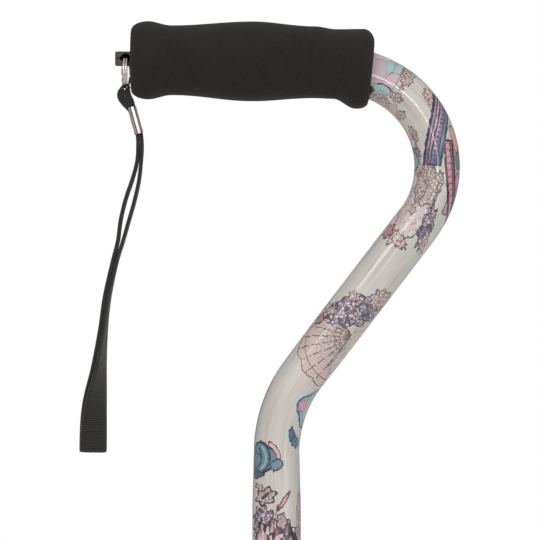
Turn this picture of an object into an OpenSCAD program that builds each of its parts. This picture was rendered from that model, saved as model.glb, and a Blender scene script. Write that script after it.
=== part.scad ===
// Quad walking cane: an offset handle on a telescoping tube, over a small base with four legs.
// The origin is the centre of the footprint, on the floor. +Z is up, +X points the way the
// handle's bend faces, and the user stands on the +Y side. It is drawn at its lowest setting.

/* [Handle] */
// Height of the grip's axis above the floor
grip_h = 770; // [750:1:790]
// Distance from the shaft's axis to the corner of the front bend
reach = 96.9; // [96:0.1:98]
// Distance from the shaft's axis to the corner of the slow dip under the grip
dip_x = 29.1; // [28.5:0.1:29.5]
// How far the tube dips before the front bend, in degrees
dip_angle = 25.7; // [25:0.1:26]
// Slope of the diagonal run, in degrees above level
diagonal_angle = 52.6; // [52:0.1:53]
// Centreline radius of the front bend
front_bend_r = 43.3; // [42.5:0.1:43.8]
// Centreline radius of the lower bend
lower_bend_r = 60; // [56:0.5:62]
// Outside diameter of the handle tube
tube_od = 22.2; // [22.2:0.05:22.3]
// Wall of the handle tube
tube_wall = 1.25; // [1.2:0.05:1.25]
// Behind the shaft's axis, where the handle tube ends
tube_back = 63; // [62.5:0.1:63.5]
// Height of the handle tube's lower end
tube_low = 172; // [172:0.1:173]

/* [Grip] */
// Distance behind the shaft's axis where the foam ends
grip_back = 66.6; // [66.5:0.1:67]
// Distance in front of the shaft's axis where the foam ends
grip_front = 43.4; // [43:0.1:44]

/* [Wrist strap] */
// Width of the webbing
strap_w = 12.5; // [11.5:0.1:13]
// Thickness of the webbing
strap_t = 1.4; // [1.2:0.1:1.4]
// Outside diameter of the split ring
ring_od = 14.6; // [14.4:0.1:15]

/* [Height adjustment] */
// Outside diameter of the inner tube
inner_od = 19.05; // [19.05:0.01:19.07]
// Wall of the inner tube
inner_wall = 1.2; // [1.1:0.1:1.2]
// Height of the inner tube's top end
inner_top = 430; // [425:1:435]
// Distance between two height holes
hole_pitch = 25.4; // [25.2:0.1:25.4]
// Number of height holes
hole_count = 7; // [3:1:7]
// Height of the snap button
button_h = 345; // [345:1:346]
// Diameter of the snap button
button_d = 6.35; // [6.2:0.05:6.4]

/* [Base] */
// Distance between the front and rear tips
tip_span_x = 176; // [170:1:180]
// Distance between the near and far tips
tip_span_y = 124; // [120:1:128]
// How far the shaft stands towards the user from the middle of the footprint
shaft_y = 14; // [12:1:16]
// Outside diameter of the leg tubes
leg_od = 15.9; // [15.9:0.1:16]
// Wall of the leg tubes
leg_wall = 1.5; // [1.2:0.1:1.8]
// Height of the leg tubes' axis under the base plate
arch_h = 88; // [86:1:90]
// Diameter of a rubber tip's sole
tip_d = 28; // [27:0.5:29]

/* [Hidden] */
$fn = 64;
cut = 1;                 // how far a cutting shape runs past the face it opens
run_fit = 0.07;          // radial gap of a running fit
free_gap = 0.3;          // gap between neighbours that only pass each other

// Handle tube, as corners of its centreline in the XZ plane of the shaft
tube_r = tube_od / 2;
bore_r = tube_r - tube_wall;
dip_bend_r = 98;
tube_sides = 40;         // flat facets round the bent run
tube_step = 8;           // the most that one facet turns along a bend, in degrees
bend_z = grip_h - (reach - dip_x) * tan(dip_angle);
shaft_top = bend_z - reach * tan(diagonal_angle);
tube_corners = [
    [-tube_back, shaft_y, grip_h],
    [dip_x, shaft_y, grip_h],
    [reach, shaft_y, bend_z],
    [0, shaft_y, shaft_top],
    [0, shaft_y, tube_low]
];
tube_bends = [0, dip_bend_r, front_bend_r, lower_bend_r, 0];
// The lower run is a true cylinder up to where the lower bend starts
straight_top = shaft_top - lower_bend_r * tan((90 - diagonal_angle) / 2);
seam_lap = 1;            // how far the bent run reaches into the straight one
seam_step = 0.02;        // how much thinner its wall is there, on each side

// Grip, as rings of [X, height over the grip's axis, radius, tilt in degrees]
end_corner = 7.6;        // length of the rounding at its rear end
front_corner = 5.2;      // and at its front end
grip_end_r = 13.6;
front_sink = 1.3;        // drop of the front face, which the tube leaves below its middle
grip_rings = [
    [-grip_back + end_corner, 0, 17.95, 0],
    [-48, 0, 16, 0],
    [-11, -0.5, 18.3, 0],
    [17, -0.9, 16.5, 1],
    [26.5, -1.7, 16, 3],
    [grip_front - front_corner, -3.9, 18.4, 6]
];

// Plug, ring and strap
tab_back = 73.9;
tab_t = 3;
tab_low = -2.6;
tab_top = 4;
ring_wire_w = 2.4;
ring_wire_t = 1.5;
ring_hole = [-69.1, 0.9];
ring_hole_r = 1.9;
ring_r = (ring_od - ring_wire_t) / 2;
strap_pivot = [ring_hole[0], ring_hole[1] - 2 * ring_r];
ferrule_top = [-66.3, -21.5];
ferrule_tilt = 15.6;
ferrule_l = 12.6;
ferrule_w = 9;
ferrule_t = 4.2;
ferrule_wall = 0.5;
gathered_w = 4.4;        // webbing as gathered into the ferrule
// Centreline of the doubled strap below the ferrule, from the shaft's axis and the grip's axis
strap_route = [[-62.5, -40], [-63, -47], [-64.5, -55], [-67, -64], [-69.5, -73.5], [-71.5, -83],
               [-74, -92], [-77.5, -108], [-79.5, -124], [-81.5, -142], [-83.5, -160], [-84, -178]];
// Gap between the middles of the two layers at the ferrule's middle, its foot and each point above
strap_gap = [1.5, 1.5, 1.8, 1.8, 3, 4, 3.6, 2, 1.8, 1.8, 1.8, 1.8, 1.8, 1.8];
// Turn of the webbing at the same places, in degrees from edge on
strap_turn = [0, 0, 0, 0, 0, 0, 0, 0, 0, 2, 6, 22, 55, 80];

// Inner tube and lock
inner_r = inner_od / 2;
inner_bore_r = inner_r - inner_wall;
nose_l = 16;
nose_r = 12.2;
nose_tip_r = 10.7;
nose_taper = 4;
sleeve_l = 12;
sleeve_r = 13.3;
collar_r = 16.5;
collar_low = tube_low - 20;
collar_lip = 1.5;
wedge_r = 12.9;
wedge_h = 4;
button_rest_y = shaft_y - tube_r - 2.5;
button_head_y = shaft_y - 7;

// Base
plate_t = 3.2;
plate_x = 74;
plate_y = 38;
plate_mid_y = shaft_y - 4;
saddle = 1.5;
arch_x = 26;
arch_near_y = shaft_y + 28;
arch_far_y = shaft_y - 34;
knee_h = 54;
knee_r = 28;
shoulder_r = 18;
leg_low = 10;
plate_low = arch_h + leg_od / 2 - saddle;
plate_top = plate_low + plate_t;
inner_low = plate_top;
cup_r = 12.7;
cup_h = 42;
bolt_r = 3.95;
washer_t = 1.6;

function unit(v) = v / norm(v);
// A ring between two others: its place and tilt go evenly, its height and radius ease in and out
function eased_ring(a, b, t) =
    let (e = (1 - cos(180 * t)) / 2)
        [a[0] + (b[0] - a[0]) * t, a[1] + (b[1] - a[1]) * e, a[2] + (b[2] - a[2]) * e,
         a[3] + (b[3] - a[3]) * t];
function eased_rings(keys, steps) = [
    for (i = [0:len(keys) - 2], k = [0:steps - 1]) eased_ring(keys[i], keys[i + 1], k / steps),
    keys[len(keys) - 1]
];
// Rings that round off an end over a length, where forward is 1 or -1 and the face drops by sink
function corner_ring(ring, l, forward, sink, t) =
    let (on = forward * l * sin(90 * t))
        [ring[0] + on * cos(ring[3]), ring[1] - on * sin(ring[3]) - sink * (1 - cos(90 * t)),
         grip_end_r + (ring[2] - grip_end_r) * cos(90 * t), ring[3]];
// Points of a ring round X, from the top towards the user
function ring_points(ring, sides) = [
    for (j = [0:sides - 1])
        let (a = 360 * j / sides, up = ring[2] * cos(a))
            [ring[0] + up * sin(ring[3]), ring[2] * sin(a), ring[1] + up * cos(ring[3])]
];
function dip_ring(a, r) =
    [dip_x - dip_bend_r * tan(dip_angle / 2) + dip_bend_r * sin(a), dip_bend_r * (cos(a) - 1), r, a];

// Vector v turned about an axis by an angle
function turned(v, axis, a) = v * cos(a) + cross(axis, v) * sin(a) + axis * (axis * v) * (1 - cos(a));

// A round tube along the same kind of corners, as one closed skin with flat facets.
// Its outside stays within r and its bore clears the bore radius.
module bent_tube(corners, bends, r, bore, sides, step) {
    last = len(corners) - 1;
    dirs = [for (i = [0:last - 1]) unit(corners[i + 1] - corners[i])];
    turns = [for (i = [1:last - 1]) acos(dirs[i - 1] * dirs[i])];
    axes = [for (i = [1:last - 1]) unit(cross(dirs[i - 1], dirs[i]))];
    first_side = axes[0];
    sides_in = [for (i = 0, v = first_side; i < last - 1; v = turned(v, axes[i], turns[i]), i = i + 1) v];
    end_side = turned(sides_in[last - 2], axes[last - 2], turns[last - 2]);
    // each station is [middle, direction, sideways]
    stations = concat(
        [[corners[0], dirs[0], first_side]],
        [
            for (i = [0:last - 2])
                let (count = ceil(turns[i] / step),
                     trim = bends[i + 1] * tan(turns[i] / 2),
                     inward = unit(dirs[i + 1] - dirs[i]),
                     centre = corners[i + 1] + inward * bends[i + 1] / cos(turns[i] / 2),
                     arm = corners[i + 1] - dirs[i] * trim - centre)
                    for (k = [0:count])
                        let (a = turns[i] * k / count)
                            [centre + turned(arm, axes[i], a), turned(dirs[i], axes[i], a),
                             turned(sides_in[i], axes[i], a)]
        ],
        [[corners[last], dirs[last - 1], end_side]]
    );
    count = len(stations);
    inner = bore / cos(180 / sides);
    points = [
        for (s = stations, ring_r = [r, inner], j = [0:sides - 1])
            let (a = 360 * j / sides)
                s[0] + (s[2] * cos(a) + cross(s[1], s[2]) * sin(a)) * ring_r
    ];
    outer_walls = [
        for (i = [0:count - 2], j = [0:sides - 1])
            let (a = 2 * sides * i, n = (j + 1) % sides, b = a + 2 * sides) [a + j, b + j, b + n, a + n]
    ];
    inner_walls = [
        for (i = [0:count - 2], j = [0:sides - 1])
            let (a = 2 * sides * i + sides, n = (j + 1) % sides, b = a + 2 * sides)
                [a + j, a + n, b + n, b + j]
    ];
    ends = [
        for (j = [0:sides - 1])
            let (n = (j + 1) % sides, e = 2 * sides * (count - 1))
                each [[j, n, sides + n, sides + j], [e + j, e + sides + j, e + sides + n, e + n]]
    ];
    polyhedron(points, concat(outer_walls, inner_walls, ends));
}

// Places children at the grip's axis over the shaft, with +Z up
module at_grip() translate([0, shaft_y, grip_h]) children();
module at_shaft(z) translate([0, shaft_y, z]) children();

module upper_tube() {
    bent_run = [for (i = [0:3]) tube_corners[i], [0, shaft_y, straight_top - seam_lap]];
    color("#d3d8d0")
        difference() {
            union() {
                bent_tube(bent_run, tube_bends, tube_r - seam_step, bore_r + seam_step,
                          tube_sides, tube_step);
                at_shaft(tube_low)
                    difference() {
                        cylinder(h = straight_top - tube_low, r = tube_r);
                        translate([0, 0, -cut])
                            cylinder(h = straight_top - tube_low + 2 * cut, r = bore_r);
                    }
            }
            for (k = [0:hole_count - 1])
                at_shaft(button_h - k * hole_pitch)
                    rotate([90, 0, 0]) cylinder(h = tube_od, r = button_d / 2 + free_gap);
        }
}

// The foam is one closed skin: an outer outline of its own, and a bore that fits the tube's facets
module foam_grip() {
    corner_steps = 5;
    first = grip_rings[0];
    last = grip_rings[len(grip_rings) - 1];
    outer = concat(
        [for (k = [corner_steps:-1:1]) corner_ring(first, end_corner, -1, 0, k / corner_steps)],
        eased_rings(grip_rings, 5),
        [for (k = [1:corner_steps]) corner_ring(last, front_corner, 1, front_sink, k / corner_steps)]
    );
    bore = tube_r / cos(180 / tube_sides);
    dip_steps = ceil(dip_angle / tube_step);
    dips = [for (k = [0:dip_steps]) ring_points(dip_ring(dip_angle * k / dip_steps, bore), tube_sides)];
    // the bore's last ring lies where the tube's facets cross the foam's end face
    end_ring = outer[len(outer) - 1];
    end_point = [end_ring[0], 0, end_ring[1]];
    ahead = [cos(last[3]), 0, -sin(last[3])];
    bore_end = [
        for (j = [0:tube_sides - 1])
            let (a = dips[dip_steps - 1][j], b = dips[dip_steps][j])
                a + (b - a) * ((end_point - a) * ahead) / ((b - a) * ahead)
    ];
    points = concat(
        [for (ring = outer) each ring_points(ring, tube_sides)],
        bore_end,
        [for (k = [dip_steps - 1:-1:0]) each dips[k]],
        ring_points([-grip_back, 0, bore, 0], tube_sides)
    );
    count = len(points) / tube_sides;
    skin = [
        for (i = [0:count - 1], j = [0:tube_sides - 1])
            let (n = (j + 1) % tube_sides, here = i * tube_sides, next = ((i + 1) % count) * tube_sides)
                each [[here + j, here + n, next + n], [here + j, next + n, next + j]]
    ];
    color("#1f1d1f") at_grip() polyhedron(points, skin);
}

module handle_plug() {
    barrel_l = 18;
    flange_t = 2;
    color("#232024")
        difference() {
            at_grip() {
                translate([-tube_back, 0, 0]) rotate([0, 90, 0]) cylinder(h = barrel_l, r = bore_r);
                translate([-tube_back - flange_t, 0, 0])
                    rotate([0, 90, 0]) cylinder(h = flange_t, r = tube_r);
                translate([-tab_back, -tab_t / 2, tab_low])
                    cube([tab_back - tube_back, tab_t, tab_top - tab_low]);
            }
            at_grip()
                translate([ring_hole[0], tab_t, ring_hole[1]])
                    rotate([90, 0, 0]) cylinder(h = 2 * tab_t, r = ring_hole_r);
        }
}

module split_ring() {
    color("#c9c4bf")
        at_grip()
            translate([ring_hole[0], 0, ring_hole[1] - ring_r])
                rotate([0, 90, 0])
                    rotate_extrude()
                        translate([ring_r - ring_wire_t / 2, -ring_wire_w / 2])
                            square([ring_wire_t, ring_wire_w]);
}

// A flat bar's outline with round ends, w long along Y and t thick
module round_slot(w, t) {
    square([t, w - t], center = true);
    for (side = [-1, 1]) translate([0, side * (w - t) / 2]) circle(d = t);
}

// Places children at the ferrule's top, with -Z running down its length
module at_ferrule()
    at_grip()
        translate([ferrule_top[0], 0, ferrule_top[1]])
            rotate([0, -ferrule_tilt, 0]) children();

module strap_ferrule() {
    seam = 0.5;
    color("#b9adab")
        difference() {
            at_ferrule()
                translate([0, 0, -ferrule_l])
                    linear_extrude(ferrule_l)
                        difference() {
                            round_slot(ferrule_w, ferrule_t);
                            round_slot(ferrule_w - 2 * ferrule_wall, ferrule_t - 2 * ferrule_wall);
                        }
            at_ferrule()
                translate([-seam / 2, -ferrule_w / 2 - cut, -ferrule_l - cut])
                    cube([seam, 2 * cut, ferrule_l + 2 * cut]);
        }
}

// Webbing that runs down one layer, round the fold and up the other layer
module strap_loop() {
    down = [sin(ferrule_tilt), -cos(ferrule_tilt)];
    route = concat([ferrule_top + down * ferrule_l / 2, ferrule_top + down * ferrule_l], strap_route);
    last = len(route) - 1;
    tangents = [for (i = [0:last]) unit(route[min(i + 1, last)] - route[max(i - 1, 0)])];
    along = [for (t = tangents) [t[0], 0, t[1]]];
    faces_out = [
        for (i = [0:last])
            [tangents[i][1], 0, -tangents[i][0]] * cos(strap_turn[i]) + [0, 1, 0] * sin(strap_turn[i])
    ];
    widths = [for (i = [0:last]) i < 2 ? gathered_w : i < 4 ? (gathered_w + strap_w) / 2 : strap_w];
    // each ring is [middle, outward direction, width]
    first_layer = [
        for (i = [0:last])
            [[route[i][0], 0, route[i][1]] + faces_out[i] * strap_gap[i] / 2, faces_out[i], along[i], widths[i]]
    ];
    fold_r = strap_gap[last] / 2;
    middle = [route[last][0], 0, route[last][1]];
    fold = [
        for (b = [60, 120])
            let (out = faces_out[last] * cos(b) + along[last] * sin(b),
                 on = along[last] * cos(b) - faces_out[last] * sin(b))
                [middle + out * fold_r, out, on, strap_w]
    ];
    second_layer = [
        for (i = [last:-1:0])
            [[route[i][0], 0, route[i][1]] - faces_out[i] * strap_gap[i] / 2, -faces_out[i], -along[i], widths[i]]
    ];
    rings = concat(first_layer, fold, second_layer);
    count = len(rings);
    corners = [
        for (r = rings)
            let (side = cross(r[1], r[2]) * r[3] / 2, thick = r[1] * strap_t / 2)
                each [r[0] - side - thick, r[0] + side - thick, r[0] + side + thick, r[0] - side + thick]
    ];
    walls = [
        for (i = [0:count - 2], k = [0:3])
            [4 * i + k, 4 * (i + 1) + k, 4 * (i + 1) + (k + 1) % 4, 4 * i + (k + 1) % 4]
    ];
    polyhedron(corners, concat([[0, 1, 2, 3]], walls, [[for (k = [3:-1:0]) 4 * (count - 1) + k]]));
}

// A round of the leaf across the strap, l long
module leaf_round(middle, r, l)
    translate([middle[0], l / 2, middle[1]])
        rotate([90, 0, 0]) cylinder(h = l, r = r);

// The short loop of gathered webbing round the split ring
module strap_leaf() {
    hub_r = 2.3;
    hub_l = 3.6;
    hub_hole_r = 1.75;
    belly = [-70.1, -17];
    belly_r = 3;
    core_t = ferrule_t - 2 * ferrule_wall - 0.1;
    core_w = ferrule_w - ferrule_t;
    difference() {
        union($fn = 32) {
            hull() {
                leaf_round(strap_pivot, hub_r, hub_l);
                leaf_round(belly, belly_r, 2 * hub_l);
            }
            hull() {
                leaf_round(belly, belly_r, 2 * hub_l);
                translate([ferrule_top[0], 0, ferrule_top[1]])
                    rotate([0, -ferrule_tilt, 0]) cube([core_t, core_w, 0.2], center = true);
            }
        }
        leaf_round(strap_pivot, hub_hole_r, 4 * hub_l);
    }
    translate([ferrule_top[0], 0, ferrule_top[1]])
        rotate([0, -ferrule_tilt, 0])
            translate([-core_t / 2, -core_w / 2, -ferrule_l]) cube([core_t, core_w, ferrule_l]);
}

module wrist_strap() {
    color("#2b2426")
        at_grip() {
            strap_loop();
            strap_leaf();
        }
}

module collet_bushing() {
    slot_w = 1.5;
    slot_l = 11;
    nose_low = tube_low - nose_l;
    color("#2a2a2c")
        difference() {
            at_shaft(0)
                rotate_extrude()
                    polygon([
                        [inner_r + run_fit, nose_low],
                        [nose_tip_r, nose_low],
                        [nose_r, nose_low + nose_taper],
                        [nose_r, tube_low],
                        [sleeve_r, tube_low],
                        [sleeve_r, tube_low + sleeve_l - 1],
                        [sleeve_r - 1, tube_low + sleeve_l],
                        [tube_r, tube_low + sleeve_l],
                        [tube_r, tube_low],
                        [inner_r + run_fit, tube_low]
                    ]);
            for (a = [0, 90])
                at_shaft(nose_low - cut)
                    rotate([0, 0, a])
                        translate([-slot_w / 2, -sleeve_r, 0])
                            cube([slot_w, 2 * sleeve_r, slot_l + cut]);
        }
}

module wedge_ring() {
    low = collar_low + collar_lip;
    nose_low = tube_low - nose_l;
    taper = (nose_r - nose_tip_r) / nose_taper;
    color("#d9d6cc")
        difference() {
            at_shaft(0)
                rotate_extrude()
                    polygon([
                        [inner_r + free_gap, low],
                        [wedge_r, low],
                        [wedge_r, low + wedge_h],
                        [nose_tip_r + free_gap + taper * (low + wedge_h - nose_low), low + wedge_h],
                        [nose_tip_r + free_gap, nose_low - free_gap],
                        [inner_r + free_gap, nose_low - free_gap]
                    ]);
            at_shaft(low - cut)
                translate([-0.75, 0, 0]) cube([1.5, wedge_r + cut, wedge_h + 2 * cut]);
        }
}

module lock_collar() {
    flutes = 12;
    flute_r = 2.2;
    edge = 1.2;
    high = tube_low - 0.5;
    seat = collar_low + collar_lip + wedge_h;
    color("#242426")
        difference() {
            at_shaft(0)
                rotate_extrude()
                    polygon([
                        [inner_r + 2 * free_gap, collar_low],
                        [collar_r - edge, collar_low],
                        [collar_r, collar_low + edge],
                        [collar_r, high - edge],
                        [collar_r - edge, high],
                        [nose_r + 0.1, high],
                        [nose_r + 0.1, seat + 0.6],
                        [wedge_r + 0.1, seat + 0.6],
                        [wedge_r + 0.1, collar_low + collar_lip],
                        [inner_r + 2 * free_gap, collar_low + collar_lip]
                    ]);
            for (k = [0:flutes - 1])
                at_shaft(collar_low - cut)
                    rotate([0, 0, k * 360 / flutes])
                        translate([collar_r + 1, 0, 0])
                            cylinder(h = high - collar_low + 2 * cut, r = flute_r);
        }
}

module lower_tube() {
    color("#c4c6c8")
        difference() {
            at_shaft(inner_low) cylinder(h = inner_top - inner_low, r = inner_r);
            at_shaft(inner_low - cut) cylinder(h = inner_top - inner_low + 2 * cut, r = inner_bore_r);
            at_shaft(button_h)
                rotate([90, 0, 0]) cylinder(h = inner_od, r = button_d / 2 + 0.1);
        }
}

module lower_tube_guide() {
    plug_l = 10;
    cap_t = 4;
    color("#2a2a2c")
        at_shaft(0)
            rotate_extrude()
                polygon([
                    [4, inner_top - plug_l],
                    [inner_bore_r, inner_top - plug_l],
                    [inner_bore_r, inner_top],
                    [bore_r - run_fit, inner_top],
                    [bore_r - run_fit, inner_top + cap_t - 1],
                    [bore_r - run_fit - 1, inner_top + cap_t],
                    [4, inner_top + cap_t]
                ]);
}

module snap_button() {
    r = button_d / 2;
    dome = 1.6;
    head_t = 1.2;
    shank_l = button_head_y - button_rest_y;
    color("#b8babd")
        translate([0, button_head_y, button_h])
            rotate([90, 0, 0])
                rotate_extrude()
                    polygon(concat(
                        [[0, -head_t], [4, -head_t], [4, 0], [r, 0]],
                        [for (a = [0:15:90]) [r * cos(a), shank_l - dome + dome * sin(a)]]
                    ));
}

// A V of spring strip: one leaf behind the button, the other on the far wall
module snap_spring() {
    leaf_w = 6;
    leaf_t = 0.6;
    leaf_l = 46;
    front_y = button_head_y + 1.3;
    back_y = shaft_y + 6.9;
    color("#8e9194")
        translate([-leaf_w / 2, 0, button_h])
            rotate([90, 0, 90])
                linear_extrude(leaf_w)
                    polygon([
                        [front_y, 5],
                        [front_y, -4],
                        [back_y - 2 * leaf_t, -leaf_l],
                        [back_y, -leaf_l],
                        [back_y, 5],
                        [back_y - leaf_t, 5],
                        [back_y - leaf_t, -leaf_l + 6],
                        [front_y + leaf_t, -3.8],
                        [front_y + leaf_t, 5]
                    ]);
}

module stem_insert() {
    color("#9a9c9e")
        difference() {
            at_shaft(inner_low) cylinder(h = 20, r = inner_bore_r);
            at_shaft(inner_low - cut) cylinder(h = 20 + 2 * cut, r = bolt_r + run_fit);
        }
}

module base_cup() {
    color("#2c2d2f")
        at_shaft(plate_top)
            difference() {
                cylinder(h = cup_h, r = cup_r);
                translate([0, 0, -cut]) cylinder(h = cup_h + 2 * cut, r = inner_r + run_fit);
            }
}

// Corners of one leg arch, from the near tip over the plate's underside to the far tip
function arch_corners(side) = [
    [side * tip_span_x / 2, tip_span_y / 2, leg_low],
    [side * tip_span_x / 2, tip_span_y / 2, knee_h],
    [side * arch_x, arch_near_y, arch_h],
    [side * arch_x, arch_far_y, arch_h],
    [side * tip_span_x / 2, -tip_span_y / 2, knee_h],
    [side * tip_span_x / 2, -tip_span_y / 2, leg_low]
];

module leg_arch(side)
    color("#2c2d2f")
        bent_tube(arch_corners(side), [0, knee_r, shoulder_r, shoulder_r, knee_r, 0],
                  leg_od / 2, leg_od / 2 - leg_wall, 24, 10);

module leg_arch_front() leg_arch(1);
module leg_arch_rear() leg_arch(-1);

module base_plate() {
    corner_r = 10;
    color("#2c2d2f")
        difference() {
            translate([0, plate_mid_y, plate_low])
                linear_extrude(plate_t) {
                    square([plate_x, plate_y - 2 * corner_r], center = true);
                    square([plate_x - 2 * corner_r, plate_y], center = true);
                    for (x = [-1, 1], y = [-1, 1])
                        translate([x * (plate_x / 2 - corner_r), y * (plate_y / 2 - corner_r)])
                            circle(r = corner_r);
                }
            at_shaft(plate_low - cut) cylinder(h = plate_t + 2 * cut, r = bolt_r + free_gap);
            for (side = [-1, 1])
                translate([side * arch_x, plate_mid_y + plate_y, arch_h])
                    rotate([90, 0, 0]) cylinder(h = 2 * plate_y, r = leg_od / 2);
        }
}

// A rubber tip round a leg's foot, with a wide ribbed sole
module tip(x, y) {
    foot_r = leg_od / 2;
    neck_r = foot_r + 2.4;
    sole_r = tip_d / 2;
    top = 34;
    color("#1c1c1d")
        translate([x * tip_span_x / 2, y * tip_span_y / 2, 0])
            rotate_extrude()
                polygon([
                    [0, 0],
                    [sole_r - 0.8, 0],
                    [sole_r, 0.8],
                    [sole_r, 4],
                    [sole_r - 1, 5],
                    [sole_r - 1, 6],
                    [neck_r + 1, 13],
                    [neck_r, 16],
                    [neck_r, top - 1],
                    [neck_r - 1, top],
                    [foot_r, top],
                    [foot_r, leg_low - 1.2],
                    [0, leg_low - 1.2]
                ]);
}

module tip_near_front() tip(1, 1);
module tip_near_rear() tip(-1, 1);
module tip_far_front() tip(1, -1);
module tip_far_rear() tip(-1, -1);

module tip_washers() {
    color("#a7a9ab")
        for (x = [-1, 1], y = [-1, 1])
            translate([x * tip_span_x / 2, y * tip_span_y / 2, leg_low - 1.2])
                cylinder(h = 1.2, r = leg_od / 2 - 0.2);
}

module hub_washer() {
    color("#a7a9ab")
        at_shaft(plate_low - washer_t)
            difference() {
                cylinder(h = washer_t, r = 8.5);
                translate([0, 0, -cut]) cylinder(h = washer_t + 2 * cut, r = bolt_r + 0.2);
            }
}

module hub_bolt() {
    head_h = 5.3;
    head_af = 13;
    shank_l = washer_t + plate_t + 18;
    color("#a7a9ab")
        at_shaft(plate_low - washer_t) {
            cylinder(h = shank_l, r = bolt_r);
            translate([0, 0, -head_h]) cylinder(h = head_h, r = head_af / sqrt(3), $fn = 6);
        }
}

base_plate();
base_cup();
leg_arch_front();
leg_arch_rear();
tip_near_front();
tip_near_rear();
tip_far_front();
tip_far_rear();
tip_washers();
hub_bolt();
hub_washer();
stem_insert();
lower_tube();
lower_tube_guide();
snap_spring();
snap_button();
wedge_ring();
lock_collar();
collet_bushing();
upper_tube();
foam_grip();
handle_plug();
split_ring();
strap_ferrule();
wrist_strap();
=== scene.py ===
import math
import bpy
import bmesh
from mathutils import Matrix, Quaternion, Vector, noise


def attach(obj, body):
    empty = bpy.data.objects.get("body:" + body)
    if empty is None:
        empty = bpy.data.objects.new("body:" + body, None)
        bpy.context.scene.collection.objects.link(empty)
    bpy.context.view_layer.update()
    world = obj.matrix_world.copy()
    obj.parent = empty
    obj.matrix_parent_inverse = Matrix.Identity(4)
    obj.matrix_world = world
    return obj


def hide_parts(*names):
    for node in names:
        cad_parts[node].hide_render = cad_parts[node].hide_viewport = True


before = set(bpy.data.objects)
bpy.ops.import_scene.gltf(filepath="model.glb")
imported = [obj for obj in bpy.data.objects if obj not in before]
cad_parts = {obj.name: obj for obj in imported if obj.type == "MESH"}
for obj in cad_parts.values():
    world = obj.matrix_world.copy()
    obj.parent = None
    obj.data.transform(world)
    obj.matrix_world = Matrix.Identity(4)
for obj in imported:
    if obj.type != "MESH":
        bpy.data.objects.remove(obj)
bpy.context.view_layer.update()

print("frame loaded")

# all sizes below are in millimetres, unless a note says otherwise
shaftY = 14          # where the shaft stands
gripZ = 770          # height of the grip's middle
tubeR = 11.1
halfRound = math.pi * tubeR
weldGap = 0.0005     # points closer than this become one


def srgb(code):  # a hex colour as linear light
    parts = [int(code[i:i + 2], 16) / 255 for i in (1, 3, 5)]
    return tuple(c / 12.92 if c <= 0.04045 else ((c + 0.055) / 1.055) ** 2.4 for c in parts) + (1,)


def addNode(tree, kind, inputs=(), out=0, stops=(), **settings):
    kind, _, choice = kind.partition(" ")  # such as "Math SUBTRACT" or "Mix RGBA"
    node = tree.nodes.new("ShaderNode" + kind)
    if choice:
        setattr(node, "data_type" if kind == "Mix" else "operation", choice)
    for name, value in settings.items():
        setattr(node, name, value)
    for i, (place, colour) in enumerate(stops):
        ramp = node.color_ramp.elements
        stop = ramp[i] if i < 2 else ramp.new(place)
        stop.position = place
        stop.color = srgb(colour)
    if isinstance(inputs, dict):
        wired = [(node.inputs[key], value) for key, value in inputs.items()]
    else:
        wired = zip([socket for socket in node.inputs if socket.enabled], inputs)
    for socket, value in wired:
        if isinstance(value, bpy.types.NodeSocket):
            tree.links.new(value, socket)
        else:
            socket.default_value = value
    if isinstance(out, str):
        return node.outputs[out]
    shown = [socket for socket in node.outputs if socket.enabled]
    return shown[out] if shown else node


def newGroup(name, given, result):  # a group of numbers in and numbers out, named by the words given
    tree = bpy.data.node_groups.new(name, "ShaderNodeTree")
    for side, labels in (("INPUT", given), ("OUTPUT", result)):
        for label in labels.split():
            tree.interface.new_socket(label, in_out=side, socket_type="NodeSocketFloat")
    return tree, tree.nodes.new("NodeGroupInput").outputs, tree.nodes.new("NodeGroupOutput").inputs


def newFinish(name, **sockets):
    finish = bpy.data.materials.new(name)
    finish.use_nodes = True
    tree = finish.node_tree
    tree.nodes.clear()
    shader = tree.nodes.new("ShaderNodeBsdfPrincipled")
    for label, value in sockets.items():
        shader.inputs[label.replace("_", " ")].default_value = value
    addNode(tree, "OutputMaterial", [shader.outputs[0]])
    return finish, tree, shader


def fitFinish(shader, **sockets):
    for label, socket in sockets.items():
        shader.id_data.links.new(socket, shader.inputs[label.replace("_", " ")])


def newShape():
    bm = bmesh.new()
    bm.verts.layers.float.new("around")  # share of a turn round a swept ring
    bm.verts.layers.float.new("run")     # way along it, in millimetres
    return bm


def sweepRings(bm, places, sides, shape=None, runs=()):
    # a ring is carried through the places, which are matrices that also hold its radii
    aroundLayer = bm.verts.layers.float["around"]
    ring = bmesh.ops.create_circle(bm, segments=sides, radius=1)["verts"]
    for vert in ring:
        turn = math.atan2(vert.co.y, vert.co.x)
        vert[aroundLayer] = turn / math.tau % 1
        if shape:
            vert.co = vert.co * shape(turn)
    edges = list({edge for vert in ring for edge in vert.link_edges})
    bmesh.ops.transform(bm, matrix=places[0], verts=ring)
    rings = [ring]
    for before, here in zip(places, places[1:]):
        made = bmesh.ops.extrude_edge_only(bm, edges=edges)["geom"]
        ring = [part for part in made if isinstance(part, bmesh.types.BMVert)]
        fresh = set(ring)
        edges = [part for part in made if isinstance(part, bmesh.types.BMEdge)
                 and part.verts[0] in fresh and part.verts[1] in fresh]
        bmesh.ops.transform(bm, matrix=here @ before.inverted(), verts=ring)
        rings.append(ring)
    runLayer = bm.verts.layers.float["run"]
    for ring, run in zip(rings, runs):
        for vert in ring:
            vert[runLayer] = run
    return rings


def ringPlace(middle, ahead, side, halfSide, halfUp):
    up = ahead.cross(side).normalized()
    rows = [[side[i] * halfSide, up[i] * halfUp, ahead[i], middle[i]] for i in range(3)]
    return Matrix(rows + [[0, 0, 0, 1]])


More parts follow.
